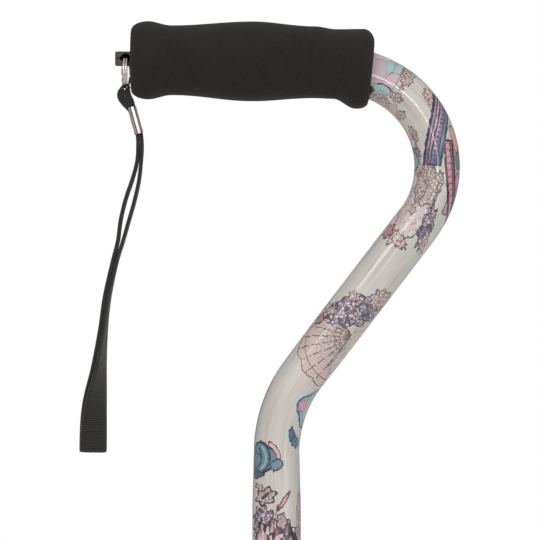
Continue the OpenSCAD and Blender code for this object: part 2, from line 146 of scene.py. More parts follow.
def bentPath(corners, bends, finest):
    # stations of a path with rounded corners: middle, direction, sideways, distance
    points = [Vector(c) for c in corners]
    dirs = [(b - a).normalized() for a, b in zip(points, points[1:])]
    side = dirs[0].cross(dirs[1]).normalized()
    path = [(points[0], dirs[0], side, 0.0)]
    for i, bend in enumerate(bends, 1):
        axis = dirs[i - 1].cross(dirs[i]).normalized()
        turn = dirs[i - 1].angle(dirs[i])
        start = points[i] - dirs[i - 1] * bend * math.tan(turn / 2)
        centre = points[i] + (dirs[i] - dirs[i - 1]).normalized() * bend / math.cos(turn / 2)
        run = path[-1][3] + (start - path[-1][0]).length
        steps = math.ceil(math.degrees(turn) / finest)
        for k in range(steps + 1):
            spin = Quaternion(axis, turn * k / steps)
            path.append((centre + spin @ (start - centre), spin @ dirs[i - 1], spin @ side,
                         run + bend * turn * k / steps))
        side = Quaternion(axis, turn) @ side
    path.append((points[-1], dirs[-1], side, path[-1][3] + (points[-1] - path[-1][0]).length))
    return path


def joinSkins(bm, outer, inner):  # closes the wall between two sweeps, one inside the other, at both ends
    for first, second in ((outer[0], inner[0]), (outer[-1], inner[-1])):
        rims = (set(first), set(second))
        edges = [e for e in bm.edges if e.is_boundary
                 and any(e.verts[0] in rim and e.verts[1] in rim for rim in rims)]
        bmesh.ops.bridge_loops(bm, edges=edges)
    bmesh.ops.recalc_face_normals(bm, faces=bm.faces)


def capEnds(bm, rings):
    for ring in (rings[0], rings[-1]):
        rim = {edge for vert in ring for edge in vert.link_edges if edge.is_boundary}
        bmesh.ops.contextual_create(bm, geom=list(rim))


def unrollSkin(bm, faces, flat, acrossAt):
    # lays a swept skin's map out flat: across by the share of a turn, along by the run
    around = bm.verts.layers.float["around"]
    runLayer = bm.verts.layers.float["run"]
    for face in faces:
        shares = [loop.vert[around] for loop in face.loops]
        wraps = max(shares) - min(shares) > 0.5
        for loop, share in zip(face.loops, shares):
            turn = share + (1 if wraps and share < 0.5 else 0)
            loop[flat].uv = (acrossAt(turn), loop.vert[runLayer])


def turnProfile(bm, profile, steps, middle, axis=(0, 0, 1)):
    # a profile of [radius, height] pairs spun a full turn; heights run along the axis
    old = set(bm.verts)
    verts = [bm.verts.new((r, 0, h)) for r, h in profile]
    edges = [bm.edges.new(pair) for pair in zip(verts, verts[1:])]
    bmesh.ops.spin(bm, geom=verts + edges, cent=(0, 0, 0), axis=(0, 0, 1), dvec=(0, 0, 0),
                   angle=math.tau, steps=steps, use_merge=True)
    bmesh.ops.remove_doubles(bm, verts=[v for v in bm.verts if v not in old], dist=weldGap)
    tilt = Vector((0, 0, 1)).rotation_difference(Vector(axis)).to_matrix().to_4x4()
    bmesh.ops.transform(bm, matrix=Matrix.Translation(middle) @ tilt,
                        verts=[v for v in bm.verts if v not in old])
    bmesh.ops.recalc_face_normals(bm, faces=bm.faces)


def finishPiece(name, bm, body, finish, stands=(), sharp=35):
    # the shape is made in millimetres and kept in metres, as the frame is
    bmesh.ops.transform(bm, matrix=Matrix.Scale(0.001, 4), verts=bm.verts)
    mesh = bpy.data.meshes.new(name)
    bm.to_mesh(mesh)
    bm.free()
    mesh.shade_smooth()
    mesh.set_sharp_from_angle(angle=math.radians(sharp))
    piece = bpy.data.objects.new(name, mesh)
    bpy.context.scene.collection.objects.link(piece)
    mesh.materials.append(finish)
    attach(piece, body)
    if stands:
        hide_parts(*stands)
    return piece


def roundedBox(power):  # a unit ring pressed towards a box
    return lambda a: (abs(math.cos(a)) ** power + abs(math.sin(a)) ** power) ** (-1 / power)


tubeForm = {
    "openX": -63,         # the open end, which the plug closes
    "levelX": 29.1,       # where the grip's level run ends
    "frontX": 96.9,       # corner of the front bend
    "fall": 25.7,         # degrees that the run before it falls
    "slant": 52.6,        # and the slanting run behind it
    "lowZ": 172,
    "bends": [98, 43.3, 60],
    "sides": 72,
    "finest": 2.0,        # degrees a bend turns between two rings
    "longest": 25,        # straight run between two rings
    # where bending has narrowed the tube in its own plane: from, to, and the share that is lost
    "narrow": [(100, 186, 0.06), (186, 280, 0.035), (272, 316, 0.06)],
    "fade": 12,
    "wall": 1.25,
    "holes": [345 - 25.4 * k for k in range(7)],
    "holeR": 3.475,
    "tile": 262,          # the print repeats down the tube at this length, half-dropped across it
}


def tubeStations():
    frontX = tubeForm["frontX"]
    frontZ = gripZ - (frontX - tubeForm["levelX"]) * math.tan(math.radians(tubeForm["fall"]))
    backZ = frontZ - frontX * math.tan(math.radians(tubeForm["slant"]))
    corners = [(tubeForm["openX"], gripZ), (tubeForm["levelX"], gripZ), (frontX, frontZ), (0, backZ),
               (0, tubeForm["lowZ"])]
    return bentPath([(x, shaftY, z) for x, z in corners], tubeForm["bends"], tubeForm["finest"])


def narrowing(run):
    share, fade = 0.0, tubeForm["fade"]
    for low, high, most in tubeForm["narrow"]:
        ease = min(max((run - low + fade) / fade, 0), 1) * min(max((high + fade - run) / fade, 0), 1)
        share = max(share, most * ease * ease * (3 - 2 * ease))
    return share


def makeTube():
    bm = newShape()
    stations = tubeStations()
    spaced = [stations[0]]
    for last, here in zip(stations, stations[1:]):  # long straight runs get rings of their own
        gap = here[3] - last[3]
        extra = int(gap / tubeForm["longest"])
        for k in range(1, extra + 1):
            t = k / (extra + 1)
            spaced.append((last[0].lerp(here[0], t), last[1], last[2], last[3] + gap * t))
        spaced.append(here)
    runs = [run for middle, ahead, side, run in spaced]
    outer, inner = [sweepRings(bm, [ringPlace(middle, ahead, side, r, r * (1 - narrowing(run)))
                                    for middle, ahead, side, run in spaced], tubeForm["sides"], runs=runs)
                    for r in (tubeR, tubeR - tubeForm["wall"])]
    joinSkins(bm, outer, inner)
    # the map starts across at the middle of the -Y side
    unrollSkin(bm, bm.faces, bm.loops.layers.uv.new("unrolled"), lambda turn: (0.5 - turn) * 2 * halfRound)
    return bm


def cutHoles(piece):
    bm = newShape()
    for height in tubeForm["holes"]:
        turn = Matrix.Translation((0, shaftY - tubeR, height)) @ Matrix.Rotation(math.pi / 2, 4, "X")
        bmesh.ops.create_cone(bm, segments=40, radius1=tubeForm["holeR"], radius2=tubeForm["holeR"], depth=8,
                               cap_ends=True, matrix=turn)
    bmesh.ops.transform(bm, matrix=Matrix.Scale(0.001, 4), verts=bm.verts)
    cutterMesh = bpy.data.meshes.new("holeCutter")
    bm.to_mesh(cutterMesh)
    bm.free()
    cutter = bpy.data.objects.new("holeCutter", cutterMesh)
    bpy.context.scene.collection.objects.link(cutter)
    cutting = piece.modifiers.new("holes", "BOOLEAN")
    cutting.object = cutter
    cutting.solver = "EXACT"
    bpy.context.view_layer.update()
    ready = bpy.data.meshes.new_from_object(piece.evaluated_get(bpy.context.evaluated_depsgraph_get()))
    piece.modifiers.clear()
    piece.data = ready
    bpy.data.objects.remove(cutter)
    ready.set_sharp_from_angle(angle=math.radians(35))


# The print's flat motifs, painted in this order. A row holds the kind, the middle (across, down), the half
# sizes, the turn in degrees, the number of lobes and their depth, the fill, and the outline with its width.
# An arc's row has its half width and radius for sizes, and half the angle that it spans for lobes.
motifs = [
    ("box", (3.5, 112.6), (17, 7.0), 0, 0, 0, "#c0a8b0"),
    ("box", (8, 108.6), (9.5, 3.4), -12, 0, 0, "#b9a2ac", "#8f7f8b", 0.25),
    ("box", (13.5, 108.5), (3.0, 3.6), -12, 0, 0, "#d8c5bf", "#8f7f80", 0.25),
    ("petal", (-4.6, 114.6), (2.6, 5.0), 0, 0, 0, "#9cb5b4", "#6c7f86", 0.2),
    ("box", (-5.0, 113.6), (1.8, 0.15), 0, 0, 0, "#59666b"),
    ("box", (-5.6, 116.2), (0.15, 2.4), 8, 0, 0, "#59666b"),
    ("box", (8.0, 113.6), (3.9, 1.9), -14, 0, 0, "#9fbab7", "#7b8b90", 0.2),
    ("box", (11.4, 117.2), (5.4, 1.4), -2, 0, 0, "#a3bcba", "#646c75", 0.25),
    ("box", (3.2, 114.8), (2.6, 0.14), 24, 0, 0, "#4d5058"),
    ("box", (6.0, 117.2), (0.14, 2.2), -24, 0, 0, "#5d5a68"),
    ("arc", (-2.1, 115.6), (0.34, 9.9), 0, 27, 0, "#2f3640"),
    ("box", (5.5, 119.3), (9.5, 0.22), -3, 0, 0, "#7c6a80"),
    ("petal", (-7.6, 109.4), (2.4, 1.8), 0, 0, 0, "#1f2532"),
    ("lace", (-12.0, 117.0), (4.6, 7.6), 0, 4, 0.08, None, "#756a6e", 0.4),
    ("box", (-12.6, 127.4), (5.6, 2.6), -42, 0, 0, "#b5aaa7", "#8b8079", 0.35),
    ("lace", (-4.2, 123.6), (2.2, 3.1), 0, 6, 0.14, None, "#625455", 0.45),
    ("lace", (0.9, 122.2), (1.2, 1.3), 0, 4, 0.3, None, "#75696a", 0.4),
    ("lace", (7.0, 121.9), (4.3, 2.6), -8, 8, 0.12, None, "#6a5c5d", 0.45),
    ("lace", (11.8, 121.6), (2.8, 2.6), 0, 6, 0.14, None, "#75686a", 0.4),
    ("lace", (8.9, 133.6), (3.8, 3.6), -30, 7, 0.13, None, "#6f5f5e", 0.45),
    ("petal", (10.2, 131.4), (1.9, 1.1), 0, 0, 0, "#c9b198", "#857361", 0.3),
    ("lace", (6.4, 136.6), (1.3, 2.1), 0, 4, 0.22, None, "#6e5f5f", 0.4),
    ("lace", (-10.4, 131.6), (3.4, 2.6), 0, 6, 0.12, None, "#6f6461", 0.5),
    ("lace", (-9.9, 144.2), (2.3, 4.6), 0, 7, 0.14, None, "#77585c", 0.5),
    ("petal", (-10.6, 145.4), (0.8, 2.6), 0, 0, 0, "#8f5f66"),
    ("blossoms", (-11.4, 156.0), (2.6, 5.6), 0, 5, 0.14, None, "#7c7076", 0.5),
    ("lace", (-9.9, 165.6), (3.6, 4.6), 0, 7, 0.12, None, "#857776", 0.4),
    ("petal", (13.0, 176.0), (2.0, 4.8), 0, 5, 0.1, "#938a8d", "#4f4248", 0.5),
    ("box", (14.0, 168.0), (6.4, 14.0), 0, 0, 0, "#a99499", "#4a3b44", 0.5),
    ("petal", (11.9, 152.4), (2.6, 5.2), 0, 3, 0.1, "#cf9f96", "#7a5558", 0.5),
    ("petal", (12.6, 160.6), (2.6, 3.2), 0, 0, 0, "#77747a", "#46404a", 0.5),
    ("petal", (12.2, 168.6), (2.4, 3.0), 0, 4, 0.08, "#d38d9d", "#6b4250", 0.5),
    ("cells", (7.7, 169.4), (2.6, 32.0), 161.5, 31, 0, None, "#241b24", 0.8),
    ("ribbon", (2.5, 147.6), (4.4, 31.2), 216, 29, 0, None, "#2f2337", 0.9),
    ("dashes", (-5.2, 184.4), (7.6, 21.5), 0, 11, 0.07, None, "#6c5a5a", 0.5),
    ("lace", (-4.6, 173.4), (6.4, 9.6), 0, 9, 0.09, None, "#6c5a5a", 0.5),
    ("lace", (-3.6, 202.2), (5.6, 2.6), 14, 9, 0.14, None, "#5f4c4e", 0.5),
    ("petal", (-10.6, 201.8), (2.6, 3.6), 0, 5, 0.2, "#a87f86", "#4f363d", 0.6),
    ("arc", (-4.8, 178.2), (0.3, 20.2), 18, 26, 0, "#6d6163"),
    ("petal", (-6.3, 187.2), (1.5, 1.8), 0, 5, 0.25, "#b9a6a2", "#5e5153", 0.5),
    ("blossoms", (4.2, 190.0), (3.0, 10.2), -17, 9, 0.16, None, "#4c3f4a", 0.5),
    ("lace", (8.6, 196.2), (1.6, 5.4), -24, 7, 0.15, None, "#7d6d6b", 0.4),
    ("lace", (1.4, 169.8), (1.8, 4.4), 0, 7, 0.2, None, "#6c5b5b", 0.45),
    ("fan", (1.2, 262.0), (13.6, 14.0), 121, 74, 0, None, "#6a474b", 0.5),
    ("dashes", (12.0, 247.0), (4.4, 23.0), 0, 0, 0, None, "#a08f8d", 0.3),
    ("box", (7.4, 259.6), (0.22, 8.6), -2, 0, 0, "#5d5254"),
    ("box", (8.5, 259.0), (0.12, 8.0), -2, 0, 0, "#857678"),
    ("box", (9.6, 237.6), (0.18, 7.0), 0, 0, 0, "#8a7274"),
    ("blossoms", (1.6, 239.6), (14.8, 7.0), -40, 13, 0.09, None, "#45353f", 0.6),
    ("lace", (8.6, 229.0), (5.4, 5.0), -30, 9, 0.12, None, "#5b4850", 0.5),
    ("lace", (-3.4, 234.8), (2.8, 2.0), 0, 6, 0.18, None, "#6b4a52", 0.45),
    ("lace", (-8.8, 246.4), (3.0, 1.9), -30, 6, 0.18, None, "#6b4f55", 0.45),
    ("petal", (-11.4, 252.6), (1.9, 3.0), 0, 3, 0.2, "#a37b80", "#3f2c33", 0.6),
    ("petal", (14.6, 290.4), (8.4, 10.4), 4, 4, 0.12, "#8fa3a6", "#3c566a", 1.0),
    ("petal", (14.8, 290.4), (5.8, 7.6), 4, 4, 0.12, "#a3b0b0", "#6c8796", 0.4),
    ("petal", (9.2, 290.4), (2.4, 2.8), 0, 4, 0.12, "#d48ea0", "#8f6a78", 0.3),
    ("box", (8.4, 295.4), (0.2, 3.4), -18, 0, 0, "#4d6472"),
    ("petal", (7.4, 306.6), (1.7, 3.6), -20, 5, 0.16, "#4f7089", "#26394c", 0.6),
    ("petal", (10.2, 310.0), (2.6, 3.0), -34, 6, 0.18, "#557790", "#26394c", 0.6),
    ("box", (8.9, 308.2), (0.22, 3.2), -34, 0, 0, "#26394c"),
    ("petal", (-7.4, 318.2), (7.4, 6.6), 0, 3, 0.1, "#5c7f8b", "#272c36", 1.0),
    ("arc", (0.8, 316.9), (1.0, 6.4), -10, 66, 0, "#d9a3a6", "#3a2f3a", 0.5),
    ("arc", (-3.4, 317.0), (0.5, 7.0), -6, 70, 0, "#2a3440"),
    ("arc", (-5.4, 318.0), (0.5, 6.0), 0, 60, 0, "#8aa6ae"),
    ("arc", (-8.0, 318.4), (0.45, 5.0), 8, 60, 0, "#2a3440"),
    ("box", (-10.6, 316.0), (2.6, 0.3), 24, 0, 0, "#2a3440"),
    ("petal", (-10.6, 325.4), (3.6, 2.0), 0, 3, 0.2, "#3b5868", "#20242c", 0.5),
    ("petal", (0.0, 321.0), (2.8, 2.6), -30, 2, 0.12, "#66838d", "#2c323c", 0.7),
    ("lace", (-5.6, 335.5), (5.2, 3.5), -18, 6, 0.18, None, "#3d2a33", 0.8),
    ("petal", (-5.4, 335.2), (3.0, 0.8), -34, 0, 0, "#463540"),
    ("petal", (3.5, 337.4), (1.0, 4.0), 35, 2, -0.15, "#c58f98", "#5d3341", 0.6),
    ("lace", (-9.0, 331.4), (3.0, 1.3), 20, 5, 0.2, None, "#5b4249", 0.5),
    ("box", (-0.4, 343.4), (0.2, 4.6), 14, 0, 0, "#5b4249"),
    ("blossoms", (-7.0, 347.6), (6.4, 7.4), 0, 9, 0.14, None, "#3a2832", 0.7),
    ("petals", (0.0, 356.0), (12.0, 9.6), 0, 11, 0.12, None, "#2a1d25", 0.8),
    ("lace", (2.4, 346.6), (2.2, 3.6), 0, 5, 0.14, None, "#5a4048", 0.5),
    ("lace", (13.6, 346.0), (3.0, 12.0), 0, 9, 0.08, None, "#a07a82", 0.4),
]


ribbonTones = [(0.0, "#46617a"), (0.10, "#5f7d92"), (0.20, "#2f2a40"), (0.28, "#7d6a86"), (0.40, "#a88fa6"),
               (0.54, "#33263c"), (0.63, "#b79aa8"), (0.72, "#32233b"), (0.80, "#a08a96"), (0.89, "#32263a")]
cellTones = [(0.0, "#33252f"), (0.16, "#8c6f7b"), (0.28, "#2b212b"), (0.40, "#c98a99"), (0.80, "#241b24")]


def makePrintGroups():
    # plain number nodes throughout, so the long chain of motifs stays cheap
    place, given, result = newGroup("motifPlace", "across down atX atY cosine sine", "x y")
    half = tubeForm["tile"] / 2
    offX = addNode(place, "Math SUBTRACT", [given["across"], given["atX"]])
    offY = addNode(place, "Math SUBTRACT", [given["down"], given["atY"]])
    column = addNode(place, "Math ROUND", [addNode(place, "Math DIVIDE", [offX, halfRound])])
    nearX = addNode(place, "Math MULTIPLY_ADD", [column, -halfRound, offX])
    nearY = addNode(place, "Math MULTIPLY_ADD", [column, -half, offY])
    nearY = addNode(place, "Math WRAP", [nearY, half, -half])
    partX = addNode(place, "Math MULTIPLY", [nearY, given["sine"]])
    turnedX = addNode(place, "Math MULTIPLY_ADD", [nearX, given["cosine"], partX])
    partY = addNode(place, "Math MULTIPLY", [nearX, given["sine"]])
    whole = addNode(place, "Math MULTIPLY", [nearY, given["cosine"]])
    turnedY = addNode(place, "Math SUBTRACT", [whole, partY])
    place.links.new(turnedX, result["x"])
    place.links.new(turnedY, result["y"])

    petal, given, result = newGroup("petalShape", "x y sizeX sizeY petals depth", "edge")
    unitX = addNode(petal, "Math DIVIDE", [given["x"], given["sizeX"]])
    unitY = addNode(petal, "Math DIVIDE", [given["y"], given["sizeY"]])
    squareX = addNode(petal, "Math MULTIPLY", [unitX, unitX])
    reach = addNode(petal, "Math SQRT", [addNode(petal, "Math MULTIPLY_ADD", [unitY, unitY, squareX])])
    angle = addNode(petal, "Math ARCTAN2", [unitY, unitX])
    wave = addNode(petal, "Math COSINE", [addNode(petal, "Math MULTIPLY", [angle, given["petals"]])])
    wave = addNode(petal, "Math MULTIPLY_ADD", [wave, given["depth"], 1.0])
    least = addNode(petal, "Math MINIMUM", [given["sizeX"], given["sizeY"]])
    over = addNode(petal, "Math SUBTRACT", [reach, wave])
    petal.links.new(addNode(petal, "Math MULTIPLY", [over, least]), result["edge"])

    box, given, result = newGroup("boxShape", "x y sizeX sizeY", "edge")
    overX = addNode(box, "Math SUBTRACT", [addNode(box, "Math ABSOLUTE", [given["x"]]), given["sizeX"]])
    overY = addNode(box, "Math SUBTRACT", [addNode(box, "Math ABSOLUTE", [given["y"]]), given["sizeY"]])
    box.links.new(addNode(box, "Math MAXIMUM", [overX, overY]), result["edge"])

    arc, given, result = newGroup("arcShape", "x y radius half span", "edge across along angle reach")
    squareX = addNode(arc, "Math MULTIPLY", [given["x"], given["x"]])
    square = addNode(arc, "Math MULTIPLY_ADD", [given["y"], given["y"], squareX])
    reach = addNode(arc, "Math SQRT", [square])
    angle = addNode(arc, "Math ARCTAN2", [given["y"], given["x"]])
    off = addNode(arc, "Math SUBTRACT", [reach, given["radius"]])
    wide = addNode(arc, "Math SUBTRACT", [addNode(arc, "Math ABSOLUTE", [off]), given["half"]])
    turnPast = addNode(arc, "Math SUBTRACT", [addNode(arc, "Math ABSOLUTE", [angle]), given["span"]])
    past = addNode(arc, "Math MULTIPLY", [turnPast, given["radius"]])
    share = addNode(arc, "Math DIVIDE", [off, given["half"]])
    for label, value in (("edge", addNode(arc, "Math MAXIMUM", [wide, past])),
                         ("across", addNode(arc, "Math MULTIPLY_ADD", [share, 0.5, 0.5])),
                         ("along", addNode(arc, "Math MULTIPLY", [angle, given["radius"]])),
                         ("angle", angle), ("reach", reach)):
        arc.links.new(value, result[label])
    return {"place": place, "petal": petal, "box": box, "arc": arc}


def makePrintedFilm():
    # Printed film under clear lacquer on aluminium tube: pale streaks, fine dark-edged motifs, wet gloss
    finish, tree, shader = newFinish("printed_film_lacquered_aluminium", Roughness=0.34, IOR=1.46,
                                     Coat_Weight=0.8, Coat_Roughness=0.07, Coat_IOR=1.5)
    groups = makePrintGroups()
    flat = addNode(tree, "UVMap", uv_map="unrolled")
    parts = addNode(tree, "SeparateXYZ", [flat])
    turn = addNode(tree, "Math DIVIDE", [parts, tubeR])
    ringX = addNode(tree, "Math MULTIPLY", [addNode(tree, "Math COSINE", [turn]), tubeR])
    ringY = addNode(tree, "Math MULTIPLY", [addNode(tree, "Math SINE", [turn]), tubeR])
    straight = addNode(tree, "CombineXYZ", [ringX, ringY, parts.node.outputs[1]])  # the tube as if never bent

    streaks = addNode(tree, "Mapping", {"Vector": straight, "Scale": (0.42, 0.42, 0.022)})
    streak = addNode(tree, "TexNoise", {"Vector": streaks, "Scale": 1.0, "Detail": 3.0, "Roughness": 0.55})
    ground = addNode(tree, "ValToRGB", [streak], stops=[(0.30, "#b3aaa0"), (0.42, "#c2b9b3"),
                                                        (0.50, "#c9c3be"), (0.58, "#bfc2ba"),
                                                        (0.70, "#c8c2be")])
    fineStreaks = addNode(tree, "Mapping", {"Vector": straight, "Scale": (2.4, 2.4, 0.05)})
    fine = addNode(tree, "TexNoise", {"Vector": fineStreaks, "Scale": 1.0, "Detail": 2.0})
    ground = addNode(tree, "Mix RGBA", [addNode(tree, "MapRange", [fine, 0.35, 0.65, 0.0, 0.45]), ground,
                                        srgb("#b3ada5")])
    cloudsAt = addNode(tree, "Mapping", {"Vector": straight, "Scale": (0.09, 0.09, 0.03)})
    clouds = addNode(tree, "TexNoise", {"Vector": cloudsAt, "Scale": 1.0, "Detail": 1.0})
    ground = addNode(tree, "Mix RGBA", [addNode(tree, "MapRange", [clouds, 0.45, 0.7, 0.0, 0.6]), ground,
                                        srgb("#d3cac5")])

    # tiny blossoms, 1.7 mm apart, each with a dark edge
    speck = addNode(tree, "TexVoronoi", {"Vector": straight, "Scale": 0.62, "Randomness": 0.9},
                    out="Color", feature="F1")
    speckTone = addNode(tree, "SeparateColor", [speck])
    blossom = addNode(tree, "ValToRGB", [speckTone], stops=[(0.0, "#564a5c"), (0.16, "#85788c"),
                                                            (0.32, "#b5a5ae"), (0.6, "#ceb7b5"),
                                                            (0.8, "#949cab"), (0.9, "#c6b8b2")])
    blossom.node.color_ramp.interpolation = "CONSTANT"
    rim = addNode(tree, "TexVoronoi", {"Vector": straight, "Scale": 0.62, "Randomness": 0.9},
                  feature="DISTANCE_TO_EDGE")
    blossom = addNode(tree, "Mix RGBA", [addNode(tree, "Math LESS_THAN", [rim, 0.09]), blossom,
                                         srgb("#55485a")])
    # long petals for the dense spray lower down
    longAt = addNode(tree, "Mapping", {"Vector": straight, "Scale": (0.8, 0.8, 0.32),
                                       "Rotation": (0.3, 0.2, 0.0)})
    longTone = addNode(tree, "SeparateColor", [addNode(tree, "TexVoronoi", {"Vector": longAt, "Scale": 1.0},
                                                       out="Color", feature="F1")])
    spray = addNode(tree, "ValToRGB", [longTone], stops=[(0.0, "#2a2431"), (0.38, "#8e5f6c"),
                                                         (0.5, "#d2b3b4"), (0.66, "#45404e"),
                                                         (0.8, "#b9989b"), (0.92, "#d8cbc6")])
    spray.node.color_ramp.interpolation = "CONSTANT"
    # short slanting dashes on a pinkish cream, 2 mm apart
    dashAt = addNode(tree, "Mapping", {"Vector": straight, "Rotation": (0.0, 0.7, 0.6),
                                       "Scale": (1.0, 1.0, 0.36)})
    dash = addNode(tree, "TexVoronoi", {"Vector": dashAt, "Scale": 1.0, "Randomness": 0.8}, feature="F1")
    dashes = addNode(tree, "Mix RGBA", [addNode(tree, "Math LESS_THAN", [dash, 0.34]), srgb("#c8b6b1"),
                                        srgb("#8a7876")])
    dashes = addNode(tree, "Mix RGBA", [0.22, dashes, ground])

    # thin brown curls on pinkish cream, for the pale blossoms
    laceCell = addNode(tree, "TexVoronoi", {"Vector": straight, "Scale": 0.72, "Randomness": 1.0},
                       feature="DISTANCE_TO_EDGE")
    laceTone = addNode(tree, "TexNoise", {"Vector": straight, "Scale": 0.8, "Detail": 2.0})
    laceFill = addNode(tree, "ValToRGB", [laceTone], stops=[(0.3, "#b9a39f"), (0.5, "#cfbbb6"),
                                                            (0.65, "#d6c2bb")])
    lace = addNode(tree, "Mix RGBA", [addNode(tree, "MapRange", [laceCell, 0.07, 0.16, 0.85, 0.0]), laceFill,
                                       srgb("#6b595b")])

    # every line wavers by a few tenths of a millimetre, as if drawn by hand
    waver = addNode(tree, "TexNoise", {"Vector": straight, "Scale": 0.6, "Detail": 3.0, "Roughness": 0.65},
                    out="Color")
    waverX = addNode(tree, "SeparateColor", [waver])
    centredX = addNode(tree, "Math SUBTRACT", [waverX, 0.5])
    centredY = addNode(tree, "Math SUBTRACT", [waverX.node.outputs[1], 0.5])
    across = addNode(tree, "Math MULTIPLY_ADD", [centredX, 1.8, parts])
    down = addNode(tree, "Math MULTIPLY_ADD", [centredY, 1.8, parts.node.outputs[1]])

    patterns = {"blossoms": blossom, "petals": spray, "dashes": dashes, "lace": lace}
    colour = ground
    for kind, (atX, atY), (sizeX, sizeY), degrees, lobes, depth, plain, *drawn in motifs:
        turn = math.radians(degrees)
        x = addNode(tree, "Group", {"across": across, "down": down, "atX": atX, "atY": atY,
                                    "cosine": math.cos(turn), "sine": math.sin(turn)},
                    node_tree=groups["place"])
        y = x.node.outputs["y"]
        fill = srgb(plain) if plain else patterns.get(kind)
        if kind == "box":
            edge = addNode(tree, "Group", {"x": x, "y": y, "sizeX": sizeX, "sizeY": sizeY},
                           node_tree=groups["box"])
        elif kind in ("arc", "ribbon", "cells", "fan"):
            x = addNode(tree, "Math ADD", [x, sizeY])  # the row gives the middle of the arc itself
            arc = addNode(tree, "Group", {"x": x, "y": y, "radius": sizeY, "half": sizeX,
                                          "span": math.radians(lobes)}, node_tree=groups["arc"])
            edge, share, along, angle, reach = arc.node.outputs[:5]
        else:
            edge = addNode(tree, "Group", {"x": x, "y": y, "sizeX": sizeX, "sizeY": sizeY, "petals": lobes,
                                           "depth": depth}, node_tree=groups["petal"])
        if kind == "ribbon":  # striped, with a checked middle
            fill = addNode(tree, "ValToRGB", [share], stops=ribbonTones)
            fill.node.color_ramp.interpolation = "CONSTANT"
            tick = addNode(tree, "Math LESS_THAN", [addNode(tree, "Math PINGPONG", [along, 1.1]), 0.42])
            inMiddle = addNode(tree, "Math COMPARE", [share, 0.42, 0.07])
            checks = addNode(tree, "Math MULTIPLY", [tick, inMiddle])
            fill = addNode(tree, "Mix RGBA", [checks, fill, srgb("#3a2b41")])
            tip = addNode(tree, "Math MULTIPLY", [addNode(tree, "Math LESS_THAN", [along, -8.5]), 0.55])
            fill = addNode(tree, "Mix RGBA", [tip, fill, srgb("#39405a")])
        elif kind == "cells":  # pink cells between dark bands
            fill = addNode(tree, "ValToRGB", [share], stops=cellTones)
            fill.node.color_ramp.interpolation = "CONSTANT"
            tick = addNode(tree, "Math LESS_THAN", [addNode(tree, "Math PINGPONG", [along, 1.35]), 0.22])
            tick = addNode(tree, "Math MULTIPLY", [tick, 0.8])
            fill = addNode(tree, "Mix RGBA", [tick, fill, srgb("#5d3a49")])
        elif kind == "fan":  # ribs from a pivot, two rings, and a salmon edge
            scallop = addNode(tree, "Math SINE", [addNode(tree, "Math MULTIPLY", [angle, 8.0])])
            scallop = addNode(tree, "Math ABSOLUTE", [scallop])
            rim = addNode(tree, "Math MULTIPLY_ADD", [scallop, 1.6, 26.0])
            edge = addNode(tree, "Math SUBTRACT", [reach, rim])
            sideEdge = addNode(tree, "Math ABSOLUTE", [angle])
            sideEdge = addNode(tree, "Math SUBTRACT", [sideEdge, math.radians(lobes)])
            edge = addNode(tree, "Math MAXIMUM", [edge, addNode(tree, "Math MULTIPLY", [sideEdge, reach])])
            outerTone = addNode(tree, "MapRange", [reach, 17.0, 26.0, 0.0, 0.5])
            fill = addNode(tree, "Mix RGBA", [outerTone, lace, srgb("#d2a79e")])
            innerTone = addNode(tree, "MapRange", [reach, 6.0, 20.0, 0.25, 0.7])
            fill = addNode(tree, "Mix RGBA", [innerTone, fill, srgb("#cab8b2")])
            ribGap = addNode(tree, "Math MULTIPLY", [addNode(tree, "Math PINGPONG", [angle, 0.115]), reach])
            thin = addNode(tree, "Math LESS_THAN", [ribGap, 0.24])
            broken = addNode(tree, "Math GREATER_THAN", [addNode(tree, "Math PINGPONG", [reach, 2.6]), 0.5])
            ribs = addNode(tree, "Math MULTIPLY", [thin, broken])
            near = addNode(tree, "Math COMPARE", [reach, 9.0, 0.16])
            far = addNode(tree, "Math COMPARE", [reach, 23.4, 0.2])
            lines = addNode(tree, "Math MAXIMUM", [ribs, addNode(tree, "Math ADD", [near, far])])
            lines = addNode(tree, "Math MULTIPLY", [lines, 0.95])
            fill = addNode(tree, "Mix RGBA", [lines, fill, srgb("#5c4e50")])
        colour = addNode(tree, "Mix RGBA", [addNode(tree, "Math LESS_THAN", [edge, 0.0]), colour, fill])
        if drawn:
            outline = addNode(tree, "Math COMPARE", [edge, 0.0, drawn[1] / 2])
            colour = addNode(tree, "Mix RGBA", [outline, colour, srgb(drawn[0])])
    haze = addNode(tree, "TexNoise", {"Vector": straight, "Scale": 1.8, "Detail": 3.0})
    orangePeel = addNode(tree, "TexNoise", {"Vector": straight, "Scale": 0.55, "Detail": 1.0})
    fitFinish(shader, Base_Color=colour, Roughness=addNode(tree, "MapRange", [haze, 0.3, 0.7, 0.30, 0.40]),
              Coat_Normal=addNode(tree, "Bump", {"Height": orangePeel, "Strength": 0.05,
                                                 "Distance": 0.0002}))
    return finish


printedFilm = makePrintedFilm()
handleTube = finishPiece("handle_tube_printed", makeTube(), "handle", printedFilm,
                         ["upper_tube"])
cutHoles(handleTube)
print("printed handle tube made")


